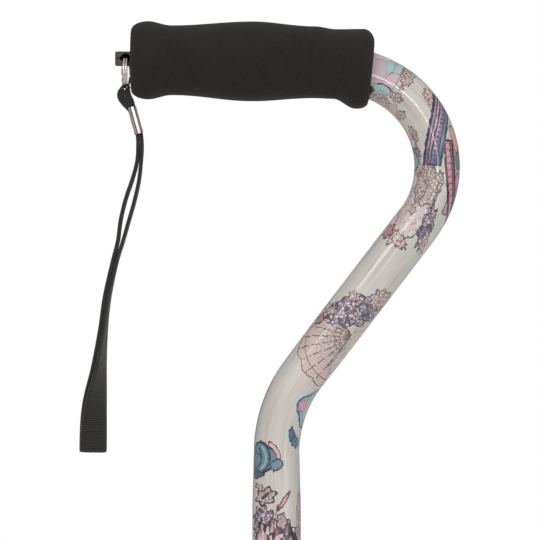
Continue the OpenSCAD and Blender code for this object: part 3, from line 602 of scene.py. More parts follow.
def makeFoam():
    # Closed-cell foam rubber, moulded: near black, dull, a fine even tooth, faint paler scuffs on the ridges
    finish, tree, shader = newFinish("closed_cell_foam_rubber", Roughness=0.82, IOR=1.45,
                                     Specular_IOR_Level=0.22, Sheen_Weight=0.05, Sheen_Roughness=0.6)
    at = addNode(tree, "TexCoord", out="Object")
    cells = addNode(tree, "TexVoronoi", {"Vector": at, "Scale": 1700.0}, feature="F1")  # 0.6 mm cells
    mottle = addNode(tree, "TexNoise", {"Vector": at, "Scale": 420.0, "Detail": 4.0, "Roughness": 0.65})
    wide = addNode(tree, "TexNoise", {"Vector": at, "Scale": 45.0, "Detail": 2.0})
    tone = addNode(tree, "ValToRGB", [mottle], stops=[(0.3, "#181715"), (0.5, "#1d1c1a"),
                                                      (0.72, "#242321")])
    tone = addNode(tree, "Mix RGBA", [addNode(tree, "MapRange", [wide, 0.4, 0.7, 0.0, 0.35]), tone,
                                      srgb("#272624")])
    depth = addNode(tree, "Math ADD", [cells, mottle])
    fitFinish(shader, Base_Color=tone,
              Roughness=addNode(tree, "MapRange", [mottle, 0.3, 0.7, 0.76, 0.9]),
              Normal=addNode(tree, "Bump", {"Height": depth, "Strength": 0.35, "Distance": 0.0002}))
    return finish


def makeMoulded(name, base, worn, roughness, grain):
    # Moulded nylon: even colour, satin, a fine spark-eroded grain and rubbed high spots
    finish, tree, shader = newFinish(name, Roughness=roughness, IOR=1.53, Specular_IOR_Level=0.45)
    at = addNode(tree, "TexCoord", out="Object")
    fine = addNode(tree, "TexNoise", {"Vector": at, "Scale": grain, "Detail": 3.0})
    soft = addNode(tree, "TexNoise", {"Vector": at, "Scale": 90.0, "Detail": 2.0})
    tone = addNode(tree, "Mix RGBA", [addNode(tree, "MapRange", [soft, 0.4, 0.75, 0.0, 0.6]), srgb(base),
                                      srgb(worn)])
    fitFinish(shader, Base_Color=tone,
              Roughness=addNode(tree, "MapRange", [soft, 0.3, 0.7, roughness - 0.06, roughness + 0.08]),
              Normal=addNode(tree, "Bump", {"Height": fine, "Strength": 0.25, "Distance": 0.0001}))
    return finish


def makeMetal(name, base, tint, roughness, brushed=None, pits=0.0):
    # Bare or plated metal: tint drifts softly, roughness follows polish marks
    finish, tree, shader = newFinish(name, Metallic=1.0, Roughness=roughness)
    at = addNode(tree, "TexCoord", out="Object")
    soft = addNode(tree, "TexNoise", {"Vector": at, "Scale": 160.0, "Detail": 3.0})
    tone = addNode(tree, "Mix RGBA", [addNode(tree, "MapRange", [soft, 0.35, 0.7, 0.0, 1.0]), srgb(base),
                                      srgb(tint)])
    marksAt = addNode(tree, "Mapping", {"Vector": at, "Scale": brushed or (1.0, 1.0, 1.0)})
    marks = addNode(tree, "TexNoise", {"Vector": marksAt, "Scale": 1.0 if brushed else 900.0,
                                       "Detail": 4.0})
    fitFinish(shader, Base_Color=tone,
              Roughness=addNode(tree, "MapRange", [marks, 0.3, 0.7, roughness * 0.75, roughness * 1.35]),
              Normal=addNode(tree, "Bump", {"Height": marks, "Strength": 0.12 + pits, "Distance": 0.00008}))
    return finish


def makeEnamel():
    # Powder-coated steel: soft black with a slight orange peel, thin and greyer on rubbed spots
    finish, tree, shader = newFinish("powder_coated_steel", Roughness=0.38, IOR=1.5, Coat_Weight=0.15,
                                     Coat_Roughness=0.3)
    at = addNode(tree, "TexCoord", out="Object")
    peel = addNode(tree, "TexNoise", {"Vector": at, "Scale": 700.0, "Detail": 2.0})
    wear = addNode(tree, "TexNoise", {"Vector": at, "Scale": 70.0, "Detail": 6.0, "Roughness": 0.7})
    tone = addNode(tree, "Mix RGBA", [addNode(tree, "MapRange", [wear, 0.55, 0.75, 0.0, 0.5]),
                                      srgb("#222325"), srgb("#3a3b3d")])
    fitFinish(shader, Base_Color=tone,
              Roughness=addNode(tree, "MapRange", [wear, 0.3, 0.7, 0.32, 0.5]),
              Normal=addNode(tree, "Bump", {"Height": peel, "Strength": 0.3, "Distance": 0.0002}))
    return finish


def makeRubber():
    # Moulded rubber: black, dull, a bloom of grey dust low down where it meets the floor
    finish, tree, shader = newFinish("moulded_rubber", Roughness=0.7, IOR=1.52, Specular_IOR_Level=0.35)
    at = addNode(tree, "TexCoord", out="Object")
    height = addNode(tree, "SeparateXYZ", [at], out=2)
    dust = addNode(tree, "TexNoise", {"Vector": at, "Scale": 260.0, "Detail": 5.0, "Roughness": 0.7})
    low = addNode(tree, "MapRange", [height, 0.0, 0.012, 1.0, 0.15])
    share = addNode(tree, "Math MULTIPLY", [addNode(tree, "MapRange", [dust, 0.42, 0.72, 0.0, 0.8]), low])
    fitFinish(shader, Base_Color=addNode(tree, "Mix RGBA", [share, srgb("#1b1b1c"), srgb("#5d5a56")]),
              Roughness=addNode(tree, "MapRange", [dust, 0.3, 0.7, 0.6, 0.85]),
              Normal=addNode(tree, "Bump", {"Height": dust, "Strength": 0.25, "Distance": 0.00015}))
    return finish


def makeWebbing():
    # Woven polyester webbing: dull black, cross ribs 1 mm apart, fine warp threads and a little fuzz; its
    # colour carries painted shade in the weave's valleys and painted light on its raised ribs
    finish, tree, shader = newFinish("woven_polyester_webbing", Roughness=0.86, IOR=1.5,
                                     Specular_IOR_Level=0.3, Sheen_Weight=0.25, Sheen_Roughness=0.5)
    flat = addNode(tree, "UVMap", uv_map="weave")
    parts = addNode(tree, "SeparateXYZ", [flat])
    # warp threads 0.45 mm apart run along, weft ribs 1 mm apart run across
    warp = addNode(tree, "Math SINE", [addNode(tree, "Math MULTIPLY", [parts, math.tau / 0.45])])
    weft = addNode(tree, "Math COSINE", [addNode(tree, "Math MULTIPLY",
                                                 [parts.node.outputs[1], math.tau / 1.0])])
    fuzz = addNode(tree, "TexNoise", {"Vector": flat, "Scale": 3.0, "Detail": 5.0, "Roughness": 0.7})
    weave = addNode(tree, "Math ADD", [warp, addNode(tree, "Math MULTIPLY", [weft, 1.6])])
    height = addNode(tree, "Math ADD", [weave, addNode(tree, "Math MULTIPLY", [fuzz, 1.5])])
    # colour follows the weave's height: painted shade in the valleys between threads, painted light on the
    # raised ribs, and random tone from the fuzz
    tone = addNode(tree, "ValToRGB", [addNode(tree, "MapRange", [height, -2.0, 3.5, 0.0, 1.0])],
                   stops=[(0.0, "#121110"), (0.45, "#201e1c"), (1.0, "#3a3532")])
    fitFinish(shader, Base_Color=tone,
              Normal=addNode(tree, "Bump", {"Height": height, "Strength": 0.5, "Distance": 0.0001}))
    return finish


foamRubber = makeFoam()
brownNylon = makeMoulded("moulded_brown_black_nylon", "#453d36", "#564d45", 0.5, 1500.0)
blackNylon = makeMoulded("moulded_black_nylon", "#242122", "#34302f", 0.42, 1500.0)
naturalNylon = makeMoulded("moulded_natural_nylon", "#cbc6b8", "#d8d4c8", 0.4, 900.0)
nickelSteel = makeMetal("nickel_plated_steel", "#d8cdc8", "#c8bcb6", 0.2)
anodisedTube = makeMetal("anodised_aluminium", "#c3c6c8", "#b4b8bb", 0.32, brushed=(900.0, 900.0, 14.0))
springSteel = makeMetal("blued_spring_steel", "#7d8085", "#6a6d73", 0.3, brushed=(700.0, 700.0, 20.0))
zincSteel = makeMetal("zinc_plated_steel", "#b9bab5", "#a3a59c", 0.38, pits=0.1)
enamel = makeEnamel()
rubber = makeRubber()
webbing = makeWebbing()
print("finishes made")

gripForm = {
    # middle's X, height over the grip's axis, radius, tilt in degrees
    "rings": [(-59, 0, 17.95, 0), (-48, 0, 16, 0), (-11, -0.5, 18.3, 0), (17, -0.9, 16.5, 1),
              (26.5, -1.7, 16, 3), (38.2, -3.9, 18.4, 6)],
    "endR": 13.6,
    "backCorner": 7.6,
    "frontCorner": 5.2,
    "frontSink": 1.3,     # the tube leaves the front face below its middle
    "boreX": -66.6,       # the bore's start
    "boreRun": 104,       # how far along the tube it takes the tube's own stations
    "boreEnd": (43.2, -7.03),
    "boreR": (11.2, 11.65),
    "uneven": 0.10,       # depth of the skin's dips
    "sides": 96,
    "steps": 14,
}


def tilted(degrees):  # a direction along the grip, tipped down at the front
    return Vector((math.cos(math.radians(degrees)), 0, -math.sin(math.radians(degrees))))


def makeGrip():
    keys = gripForm["rings"]
    rings = []
    for a, b in zip(keys, keys[1:]):
        for k in range(gripForm["steps"]):
            t = k / gripForm["steps"]
            ease = (1 - math.cos(math.pi * t)) / 2
            rings.append((a[0] + (b[0] - a[0]) * t, a[1] + (b[1] - a[1]) * ease,
                          a[2] + (b[2] - a[2]) * ease, a[3] + (b[3] - a[3]) * t))
    rings.append(keys[-1])
    corner = [k / 9 * math.pi / 2 for k in range(1, 10)]

    def rounded(ring, length, forward, angle):
        on = forward * length * math.sin(angle)
        tilt = math.radians(ring[3])
        sink = gripForm["frontSink"] * (1 - math.cos(angle)) if forward > 0 else 0
        return (ring[0] + on * math.cos(tilt), ring[1] - on * math.sin(tilt) - sink,
                gripForm["endR"] + (ring[2] - gripForm["endR"]) * math.cos(angle), ring[3])

    back = [rounded(keys[0], gripForm["backCorner"], -1, a) for a in reversed(corner)]
    front = [rounded(keys[-1], gripForm["frontCorner"], 1, a) for a in corner]
    side = Vector((0, 1, 0))
    places = []
    for x, z, r, tilt in back + rings + front:
        places.append(ringPlace(Vector((x, shaftY, gripZ + z)), tilted(tilt), side, r, r))
    bm = newShape()
    outer = sweepRings(bm, places, gripForm["sides"])
    # the bore follows the tube, which leaves the grip lower than the grip's own middle
    bore = [station for station in tubeStations() if station[3] < gripForm["boreRun"]]
    wide, high = gripForm["boreR"]
    startX, endX, endZ = gripForm["boreX"], *gripForm["boreEnd"]
    spots = [(Vector((startX, shaftY, gripZ)), bore[0][1],
              wide)] + [(m, a, wide) for m, a, s, r in bore[1:]]
    spots.append((Vector((endX, shaftY, gripZ + endZ)), tilted(gripForm["rings"][-1][3]), high))
    inner = sweepRings(bm, [ringPlace(m, a, side, wide, up) for m, a, up in spots], gripForm["sides"])
    joinSkins(bm, outer, inner)
    for ring in outer:  # the skin is very slightly uneven, and never proud of its outline
        for vert in ring:
            dip = gripForm["uneven"] * (1 + noise.noise(vert.co * 0.09)) * 0.5
            vert.co -= (vert.co - Vector((vert.co.x, shaftY, gripZ - 1))).normalized() * dip
    return bm


grip = finishPiece("foam_grip_sleeve", makeGrip(), "handle", foamRubber, ["foam_grip"], sharp=60)
print("foam grip made")

plugForm = {"back": -65, "front": -63, "tabBack": -73.9, "tabTop": 4.0, "tabLow": -2.6, "thick": 3.0,
            "hole": (-69.1, 0.9), "holeR": 1.9, "edge": 0.45}


def makePlug():
    bm = newShape()
    turnProfile(bm, [(0, -18), (9.3, -18), (9.8, -17.4), (9.8, 0), (10.9, 0.0), (11.05, 0.2), (11.05, 1.6),
                     (10.6, 2.0), (7.2, 2.0), (6.8, 1.5), (0, 1.5)], 72,
                Vector((plugForm["front"], shaftY, gripZ)), axis=(-1, 0, 0))
    # flat tab with rounded corners, bridged round its hole
    height = (plugForm["tabTop"] - plugForm["tabLow"]) / 2
    length = (plugForm["back"] + 1 - plugForm["tabBack"]) / 2
    middle = Vector((plugForm["tabBack"] + length, 0, (plugForm["tabTop"] + plugForm["tabLow"]) / 2))
    holeAt = Vector((plugForm["hole"][0], 0, plugForm["hole"][1]))
    ahead, side = Vector((0, 1, 0)), Vector((1, 0, 0))
    half = plugForm["thick"] / 2
    base = Vector((0, shaftY, gripZ))
    edge = plugForm["edge"]
    rims = [(-half, edge), (-half + edge, 0.0), (half - edge, 0.0), (half, edge)]
    outside = sweepRings(bm, [ringPlace(base + middle + ahead * y, ahead, side, length - cut, height - cut)
                              for y, cut in rims], 64, roundedBox(14))
    inside = sweepRings(bm, [ringPlace(base + holeAt + ahead * y, ahead, side, plugForm["holeR"] + cut * 0.6,
                                        plugForm["holeR"] + cut * 0.6) for y, cut in rims], 48)
    joinSkins(bm, outside, inside)
    return bm


finishPiece("handle_plug_moulded", makePlug(), "handle", brownNylon, ["handle_plug"])

ringForm = {"middle": (-69.1, 764.35), "radius": 6.55, "wire": (0.52, 0.72), "pitch": 1.15, "splay": 1.25,
            "start": -60, "sweep": 690, "steps": 150}


def makeRing():
    # two turns of flat wire that lie together at the front and part a little at the back
    bm = newShape()
    places = []
    for k in range(ringForm["steps"] + 1):
        share = k / ringForm["steps"]
        angle = math.radians(ringForm["start"]) + share * math.radians(ringForm["sweep"])
        out = Vector((0, -math.cos(angle), math.sin(angle)))
        turn = share * ringForm["sweep"] / 360
        lay = min(max((turn - 0.86) / 0.22, 0), 1)
        lay = lay * lay * (3 - 2 * lay) * 2 - 1
        back = max(out.y, 0) ** 1.5 * (0.35 if out.z > 0.75 else 1.0)
        x = ringForm["middle"][0] + lay * (ringForm["pitch"] / 2 + ringForm["splay"] * back)
        middle = Vector((x, shaftY, ringForm["middle"][1])) + out * ringForm["radius"]
        ahead = Vector((0, math.sin(angle), math.cos(angle)))
        places.append(ringPlace(middle, ahead, Vector((1, 0, 0)), ringForm["wire"][0], ringForm["wire"][1]))
    rings = sweepRings(bm, places, 20, roundedBox(4))
    capEnds(bm, rings)
    bmesh.ops.recalc_face_normals(bm, faces=bm.faces)
    return bm


finishPiece("split_ring_wire", makeRing(), "ring", nickelSteel, ["split_ring"])

ferruleForm = {
    "top": (-66.3, -21.5),
    "tilt": 15.6,
    "half": (2.05, 4.45),
    "wall": 0.5,
    # way down from the top, and how much of its half width is pressed in there
    "press": [(0, 0.02), (0.3, 0.0), (3.0, 0.0), (3.6, 0.04), (4.2, 0.0),
              (9.6, 0.0), (10.2, 0.04), (10.8, 0.0), (12.3, 0.0), (12.6, 0.02)],
}


def makeFerrule():
    # thin sheet wrapped to a flat tube; its two edges meet on the -Y side with a narrow gap
    bm = newShape()
    tilt = math.radians(ferruleForm["tilt"])
    down = Vector((math.sin(tilt), 0, -math.cos(tilt)))
    side = Vector((math.cos(tilt), 0, math.sin(tilt)))
    top = Vector((ferruleForm["top"][0], shaftY, gripZ + ferruleForm["top"][1]))
    places = []
    wide, deep = ferruleForm["half"]
    for at, press in ferruleForm["press"]:
        places.append(ringPlace(top + down * at, down, side, wide * (1 - press), deep))
    rings = sweepRings(bm, places, 64, roundedBox(2.6))
    middleEdge = min(rings[0], key=lambda v: (v.co - (top + Vector((-0.55, -4.4, 0)))).length)
    around = bm.verts.layers.float["around"]
    share = middleEdge[around]
    gap = [f for f in bm.faces if all(abs(v[around] - share) < 0.025 for v in f.verts)]  # three faces wide
    bmesh.ops.delete(bm, geom=gap, context="FACES")
    bmesh.ops.recalc_face_normals(bm, faces=bm.faces)
    bmesh.ops.solidify(bm, geom=list(bm.faces), thickness=ferruleForm["wall"])
    bmesh.ops.recalc_face_normals(bm, faces=bm.faces)
    return bm


finishPiece("strap_ferrule_crimped", makeFerrule(), "strap", nickelSteel, ["strap_ferrule"])
print("plug, ring and ferrule made")

strapForm = {
    # the loop's middle, and at each of its points the gap between its layers, their turn and their width
    "route": [(-64.6, -27.5), (-62.9, -33.6), (-62.5, -40), (-63, -47), (-64.5, -55), (-67, -64),
              (-69.5, -73.5), (-71.5, -83), (-74, -92), (-77.5, -108), (-79.5, -124), (-81.5, -142),
              (-83.5, -160), (-84, -178)],
    "gap": [1.7, 1.7, 1.8, 1.9, 3.1, 4.1, 3.7, 2.3, 1.8, 1.8, 1.8, 1.8, 1.8, 1.8],
    "turn": [0, 0, 0, 0, 0, 0, 0, 0, 0, 2, 6, 22, 55, 80],
    "width": [4.4, 4.4, 8.4, 8.4, 12.5, 12.5, 12.5, 12.5, 12.5, 12.5, 12.5, 12.5, 12.5, 12.5],
    "thick": 1.78,
    "rib": 1.0,           # pitch of the cross ribs
    "ribDepth": 0.10,
    "girth": 27.4,        # way round the webbing
    "step": 0.33,         # a third of a rib, so that each has its rise and fall
    # the leaf: gathered webbing that runs up one side, over the ring's wire and down the other
    "leaf": [(-66.0, -24.8), (-67.7, -21.8), (-69.9, -18.9), (-71.2, -16.4), (-70.9, -13.8),
             (-70.8, -12.4), (-69.15, -10.85), (-67.55, -12.2), (-68.2, -13.8), (-68.0, -16.4),
             (-66.9, -18.8), (-65.8, -21.6), (-65.2, -24.8)],
    "leafWide": [4.4, 5.4, 7.6, 8.6, 7.2, 4.6, 3.4, 4.6, 7.2, 8.6, 7.6, 5.4, 4.4],
    "leafThick": [1.6, 2.8, 3.6, 3.7, 3.1, 1.2, 1.1, 1.1, 2.6, 3.4, 3.4, 2.6, 1.6],
    "leafSteps": 120,
}


def smoothAt(values, t):  # a smooth curve through evenly spaced values
    i = min(int(t), len(values) - 2)
    f = t - i
    a, b = values[max(i - 1, 0)], values[i]
    c, d = values[i + 1], values[min(i + 2, len(values) - 1)]
    bend = (2 * a - 5 * b + 4 * c - d) * f * f
    return 0.5 * (2 * b + (c - a) * f + bend + (3 * b - a - 3 * c + d) * f ** 3)


def routeAt(route, t, before, after):  # middle and direction on a smooth route of (x, height) pairs
    (x, z), (x0, z0), (x1, z1) = [[smoothAt(way, at) for way in zip(*route)] for at in (t, before, after)]
    return Vector((x, shaftY, gripZ + z)), Vector((x1 - x0, 0, z1 - z0)).normalized()


def strapPoint(t, layer):
    after = min(t + 0.02, len(strapForm["route"]) - 1)
    spot, ahead = routeAt(strapForm["route"], t, after - 0.04, after)
    turn = math.radians(smoothAt(strapForm["turn"], t))
    out = Vector((ahead.z, 0, -ahead.x)) * math.cos(turn) + Vector((0, 1, 0)) * math.sin(turn)
    return (spot + out * layer * smoothAt(strapForm["gap"], t) / 2, ahead, out,
            smoothAt(strapForm["width"], t))


def sweepWebbing(bm, points, weave):
    # points are middle, direction, outward, width, thickness; ribs stand out along the way
    places, runs = [], []
    run = 0.0
    last = points[0][0]
    depth = strapForm["ribDepth"]
    for middle, ahead, out, width, thick in points:
        run += (middle - last).length
        last = middle
        rib = (0.5 - 0.5 * math.cos(math.tau * run / strapForm["rib"])) * depth
        side = out.cross(ahead).normalized()
        places.append(ringPlace(middle, ahead, side, width / 2 - 0.12 + rib, thick / 2 - depth + rib))
        runs.append(run)
    rings = sweepRings(bm, places, 20, roundedBox(5), runs)
    capEnds(bm, rings)
    unrollSkin(bm, {face for ring in rings for vert in ring for face in vert.link_faces}, weave,
               lambda turn: turn * strapForm["girth"])


def makeStrap():
    bm = newShape()
    weave = bm.loops.layers.uv.new("weave")
    last = len(strapForm["route"]) - 1
    count = int(last / 0.035)
    first = [strapPoint(last * k / count, 1) for k in range(count + 1)]
    second = [strapPoint(last * k / count, -1) for k in range(count, -1, -1)]
    endMiddle, endAhead, endOut, endWidth = strapPoint(last, 0)
    foldR = strapForm["gap"][-1] / 2
    fold = []
    for k in range(1, 8):
        a = math.pi * k / 8
        out = endOut * math.cos(a) + endAhead * math.sin(a)
        fold.append((endMiddle + out * foldR, endAhead * math.cos(a) - endOut * math.sin(a), out, endWidth))
    loop = first + fold + [(m, -a, -o, w) for m, a, o, w in second]
    spaced = [loop[0]]
    for here in loop[1:]:
        while (here[0] - spaced[-1][0]).length >= strapForm["step"]:
            prev = spaced[-1]
            share = strapForm["step"] / (here[0] - prev[0]).length
            spaced.append((prev[0].lerp(here[0], share), prev[1].lerp(here[1], share).normalized(),
                           prev[2].lerp(here[2], share).normalized(),
                           prev[3] + (here[3] - prev[3]) * share))
    sweepWebbing(bm, [(m, a, o, w, strapForm["thick"]) for m, a, o, w in spaced], weave)
    last = len(strapForm["leaf"]) - 1
    spots = []
    for k in range(strapForm["leafSteps"] + 1):
        t = last * k / strapForm["leafSteps"]
        at, ahead = routeAt(strapForm["leaf"], t, max(t - 0.05, 0), min(t + 0.05, last))
        spots.append((at, ahead, Vector((-ahead.z, 0, ahead.x)), smoothAt(strapForm["leafWide"], t),
                      smoothAt(strapForm["leafThick"], t)))
    sweepWebbing(bm, spots, weave)
    bmesh.ops.recalc_face_normals(bm, faces=bm.faces)
    return bm


strap = finishPiece("wrist_strap_webbing", makeStrap(), "strap", webbing, ["wrist_strap"],
                    sharp=50)
print("wrist strap made")

collarForm = {"low": 152, "high": 171.5, "radius": 16.4, "flutes": 12, "fluteDepth": 1.25,
              "boreR": 10.2, "ringR": 13.0, "threadR": 12.3}


def makeCollar():
    bm = newShape()

    def fluted(a):
        beat = abs((a * collarForm["flutes"] / math.tau) % 1 - 0.5) * 2
        dip = max(1 - beat / 0.46, 0) ** 0.8
        return 1 - collarForm["fluteDepth"] / collarForm["radius"] * dip

    low, high, r = collarForm["low"], collarForm["high"], collarForm["radius"]
    at = [(low, r - 1.5), (low + 0.25, r - 0.8), (low + 0.8, r - 0.25), (low + 1.5, r), (high - 1.5, r),
          (high - 0.8, r - 0.25), (high - 0.25, r - 0.8), (high, r - 1.5)]
    up, side = Vector((0, 0, 1)), Vector((1, 0, 0))
    outer = sweepRings(bm, [ringPlace(Vector((0, shaftY, z)), up, side, w, w) for z, w in at], 144, fluted)
    bore = [(low, "boreR"), (low + 1.5, "boreR"), (low + 1.5, "ringR"), (low + 6.1, "ringR"),
            (low + 6.1, "threadR"), (high, "threadR")]
    inner = sweepRings(bm, [ringPlace(Vector((0, shaftY, z)), up, side, collarForm[w], collarForm[w])
                            for z, w in bore], 144)
    joinSkins(bm, outer, inner)
    return bm


finishPiece("lock_collar_fluted", makeCollar(), "collar", blackNylon, ["lock_collar"])


def makeBushing():
    # sleeve with two raised bands over a threaded nose
    bm = newShape()
    profile = [(9.6, 156), (10.6, 156.05), (12.1, 160)]
    for k in range(5):
        z = 161.2 + 2.0 * k
        profile += [(11.65, z), (12.15, z + 0.5), (12.15, z + 1.0), (11.65, z + 1.5)]
    profile += [(12.1, 171.9), (13.2, 172.0), (13.3, 172.3), (13.3, 174.6), (12.95, 174.9), (12.95, 176.2),
                (13.3, 176.5), (13.3, 182.8), (13.0, 183.6), (12.2, 184), (11.12, 184), (11.12, 172.2),
                (9.6, 172.2), (9.6, 156)]
    turnProfile(bm, profile, 96, Vector((0, shaftY, 0)))
    return bm


finishPiece("collet_bushing_moulded", makeBushing(), "handle", blackNylon,
            ["collet_bushing"])


buttonForm = {"radius": 3.17, "face": 5.0, "rise": 1.6, "out": 7}


def makeButton():
    bm = newShape()
    r, faceZ, rise = buttonForm["radius"], buttonForm["face"], buttonForm["rise"]
    dome = [(r * math.cos(a), faceZ + rise * math.sin(a)) for a in [math.pi / 2 * k / 8 for k in range(8)]]
    profile = [(0, -1.2), (3.8, -1.2), (4, -1), (4, -0.2), (3.8, 0), (r, 0)] + dome + [(0, faceZ + rise)]
    turnProfile(bm, profile, 48, Vector((0, shaftY - buttonForm["out"], tubeForm["holes"][0])),
                axis=(0, -1, 0))
    return bm


finishPiece("snap_button_domed", makeButton(), "button", nickelSteel, ["snap_button"])
print("height adjustment made")

baseForm = {
    "feet": (88, 62),     # where the legs stand, from the middle
    "lowZ": 10,           # legs' lower ends, inside the tips
    "kneeZ": 54,
    "archX": 26,
    "archY": (42, -20),
    "archZ": 88,
    "bends": [28, 18, 18, 28],
    "legR": (7.94, 6.45),
    "plate": (74, 38, 94.45, 3.2),
    "plateY": 10,
}


def makeLeg(sign):
    bm = newShape()
    footX, footY = baseForm["feet"]
    near, far = baseForm["archY"]
    corners = [(footX, footY, baseForm["lowZ"]), (footX, footY, baseForm["kneeZ"]),
               (baseForm["archX"], near, baseForm["archZ"]), (baseForm["archX"], far, baseForm["archZ"]),
               (footX, -footY, baseForm["kneeZ"]), (footX, -footY, baseForm["lowZ"])]
    path = bentPath([(sign * x, y, z) for x, y, z in corners], baseForm["bends"], 3)
    outer, inner = [sweepRings(bm, [ringPlace(m, a, s, radius, radius) for m, a, s, r in path], 40)
                    for radius in baseForm["legR"]]
    joinSkins(bm, outer, inner)
    return bm


finishPiece("leg_arch_front_bent", makeLeg(1), "base", enamel, ["leg_arch_front"])
finishPiece("leg_arch_rear_bent", makeLeg(-1), "base", enamel, ["leg_arch_rear"])


def makePlate():
    bm = newShape()
    wide, deep, low, thick = baseForm["plate"]
    bmesh.ops.create_cube(bm, size=1, matrix=Matrix.Translation((0, baseForm["plateY"], low + thick / 2))
                          @ Matrix.Diagonal((wide, deep, thick, 1)))
    upright = [e for e in bm.edges if abs(e.verts[0].co.z - e.verts[1].co.z) > 1]
    bmesh.ops.bevel(bm, geom=upright, offset=10, segments=12, profile=0.5, affect="EDGES", material=-1)
    rims = [e for e in bm.edges if abs(e.verts[0].co.z - e.verts[1].co.z) < 0.1]
    bmesh.ops.bevel(bm, geom=rims, offset=0.5, segments=3, profile=0.5, affect="EDGES", material=-1)
    return bm


finishPiece("base_plate_pressed", makePlate(), "base", enamel, ["base_plate"])


def makeCup():
    bm = newShape()
    turnProfile(bm, [(9.6, 97.65), (12.7, 97.65), (12.7, 138.6), (12.3, 139.4), (11.6, 139.65),
                     (10.2, 139.65), (9.7, 139.3), (9.6, 138.8), (9.6, 97.65)], 96, Vector((0, shaftY, 0)))
    return bm


finishPiece("base_cup_turned", makeCup(), "base", enamel, ["base_cup"])


weldForm = {"cup": (12.9, 98.0), "cupR": 1.5, "arch": (6.3, 93.6), "archR": 1.25, "from": -8, "length": 36}


def makeWelds():
    # a rippled bead round the cup's foot, and one along each side of both arches under the plate
    bm = newShape()
    places = []
    reach, height = weldForm["cup"]
    for k in range(181):
        a = math.tau * k / 180
        out = Vector((math.cos(a), math.sin(a), 0))
        swell = weldForm["cupR"] + 0.22 * abs(math.sin(a * 22)) + 0.15 * noise.noise(out * 3)
        middle = Vector((0, shaftY, height)) + out * reach
        places.append(ringPlace(middle, Vector((-out.y, out.x, 0)), out, swell, swell))
    sweepRings(bm, places, 12)
    reach, height = weldForm["arch"]
    for archX in (-baseForm["archX"] - reach, -baseForm["archX"] + reach,
                  baseForm["archX"] - reach, baseForm["archX"] + reach):
        places = []
        for k in range(61):
            y = weldForm["from"] + weldForm["length"] * k / 60
            swell = (weldForm["archR"] + 0.2 * abs(math.sin(y * 1.9))) * min(1, 0.35 + min(k, 60 - k) / 5)
            places.append(ringPlace(Vector((archX, y, height)), Vector((0, 1, 0)), Vector((1, 0, 0)), swell,
                                    swell))
        capEnds(bm, sweepRings(bm, places, 12))
    bmesh.ops.remove_doubles(bm, verts=bm.verts, dist=weldGap)
    bmesh.ops.recalc_face_normals(bm, faces=bm.faces)
    return bm


finishPiece("base_weld_beads", makeWelds(), "base", enamel, sharp=60)

tipForm = {
    "soleRings": [(2.4, 4.6), (6.8, 9.0), (11.2, 13.3)],   # inner and outer radius of each raised ring
    "skirt": [(13.85, 0.5), (14, 1.0), (14, 3.6), (13.7, 4.4), (13.1, 5.0), (13.0, 6.0), (12.6, 7.4),
              (11.9, 10.6), (11.4, 13.0), (11.1, 13.6), (10.6, 14.2), (10.35, 15.2)],
    "grooves": [18.0, 22.0, 26.0],
    "neck": [(10.35, 32.6), (10.1, 33.4), (9.5, 34), (8.4, 34), (8.0, 33.6), (7.97, 33.0), (7.97, 8.8),
             (0, 8.8)],
}


def makeTip(x, y):
    # a moulded tip: a sole of raised rings, a flared foot, and a neck with three grooves
    bm = newShape()
    profile = [(0, 0.9)]
    for inner, outer in tipForm["soleRings"]:
        profile += [(inner - 0.2, 0.9), (inner, 0.0), (outer, 0.0), (outer + 0.2, 0.9)]
    profile = profile[:-1] + tipForm["skirt"]  # the last ring runs into the skirt
    for z in tipForm["grooves"]:
        profile += [(10.35, z), (9.95, z + 0.4), (9.95, z + 1.4), (10.35, z + 1.8)]
    turnProfile(bm, profile + tipForm["neck"], 72, Vector((x, y, 0)))
    return bm


footX, footY = baseForm["feet"]
for name, x, y in (("near_front", footX, footY), ("near_rear", -footX, footY), ("far_front", footX, -footY),
                   ("far_rear", -footX, -footY)):
    finishPiece("rubber_" + name, makeTip(x, y), "base", rubber, ["tip_" + name])

# these keep their own shape and get a finish
for node, finish in (("tip_washers", zincSteel), ("hub_bolt", zincSteel), ("hub_washer", zincSteel),
                     ("stem_insert", anodisedTube), ("lower_tube", anodisedTube),
                     ("lower_tube_guide", blackNylon), ("snap_spring", springSteel),
                     ("wedge_ring", naturalNylon)):
    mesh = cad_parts[node].data
    mesh.materials.clear()
    mesh.materials.append(finish)
print("base made")


def makeStage():
    finish, tree, shader = newFinish("matt_white_floor", Roughness=0.9, Specular_IOR_Level=0.1)
    at = addNode(tree, "TexCoord", out="Object")
    grain = addNode(tree, "TexNoise", {"Vector": at, "Scale": 30.0, "Detail": 3.0})
    tree.links.new(addNode(tree, "Mix RGBA", [grain, srgb("#f0efed"), srgb("#f4f3f1")]),
                   shader.inputs["Base Color"])
    bm = newShape()
    bmesh.ops.create_circle(bm, cap_ends=True, segments=128, radius=3.0)
    mesh = bpy.data.meshes.new("floor")
    bm.to_mesh(mesh)
    bm.free()
    floor = bpy.data.objects.new("floor", mesh)
    bpy.context.scene.collection.objects.link(floor)
    mesh.materials.append(finish)


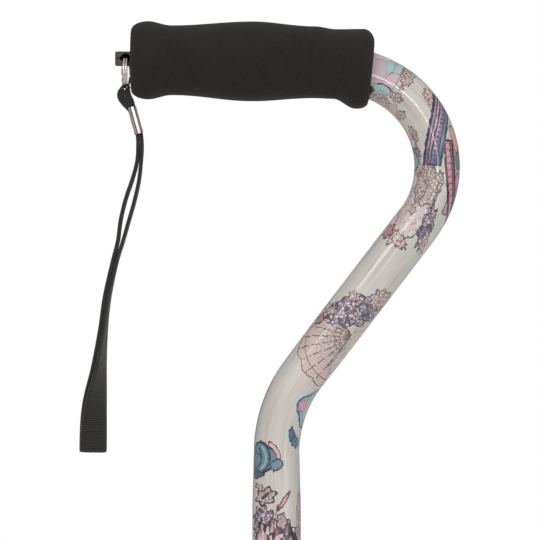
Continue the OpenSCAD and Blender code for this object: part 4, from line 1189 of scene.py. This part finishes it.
def makeWorld():
    # white to the eye, softer grey to surfaces, brighter above and in front
    world = bpy.data.worlds.new("studio")
    bpy.context.scene.world = world
    world.use_nodes = True
    tree = world.node_tree
    tree.nodes.clear()
    direction = addNode(tree, "TexCoord", out="Generated")
    parts = addNode(tree, "SeparateXYZ", [direction])
    front = addNode(tree, "MapRange", [parts.node.outputs[1], -0.9, 0.7, 1.0, 0.3])
    above = addNode(tree, "MapRange", [parts.node.outputs[2], -0.6, 1.0, 0.72, 1.12])
    level = addNode(tree, "Math MULTIPLY", [front, above])
    soft = addNode(tree, "Background", {"Color": (1.0, 1.0, 1.0, 1.0), "Strength": level})
    plain = addNode(tree, "Background", {"Color": (1.0, 1.0, 1.0, 1.0), "Strength": 1.0})
    seen = addNode(tree, "LightPath")
    tree.links.new(addNode(tree, "MixShader", [seen, soft, plain]), addNode(tree, "OutputWorld").inputs[0])


def addPanel(name, at, target, size, power):
    lamp = bpy.data.lights.new(name, "AREA")
    lamp.shape = "RECTANGLE"
    lamp.size, lamp.size_y = size
    lamp.energy = power
    panel = bpy.data.objects.new(name, lamp)
    bpy.context.scene.collection.objects.link(panel)
    panel.location = at
    panel.rotation_euler = (Vector(target) - Vector(at)).to_track_quat("-Z", "Y").to_euler()


viewForm = {"lens": 233.0, "distance": 1.6, "middle": (-0.003, 0.674)}


def makeCamera():
    camera = bpy.data.cameras.new("view")
    camera.lens = viewForm["lens"]
    camera.sensor_width = 36
    camera.clip_end = 50
    holder = bpy.data.objects.new("view", camera)
    bpy.context.scene.collection.objects.link(holder)
    holder.location = (viewForm["middle"][0], shaftY * 0.001 - viewForm["distance"], viewForm["middle"][1])
    holder.rotation_euler = (math.pi / 2, 0, 0)
    bpy.context.scene.camera = holder


makeStage()
makeWorld()
addPanel("key_panel", (-0.9, -1.5, 1.9), (0.02, 0.014, 0.7), (0.7, 0.9), 9)
addPanel("glint_panel", (0.10, -1.5, 0.85), (0.04, 0.014, 0.76), (0.16, 0.2), 0.9)
addPanel("fill_panel", (1.4, -1.2, 0.9), (0.0, 0.014, 0.5), (0.9, 1.2), 4)
makeCamera()
bpy.context.scene.view_settings.view_transform = "Standard"
print("stage set")
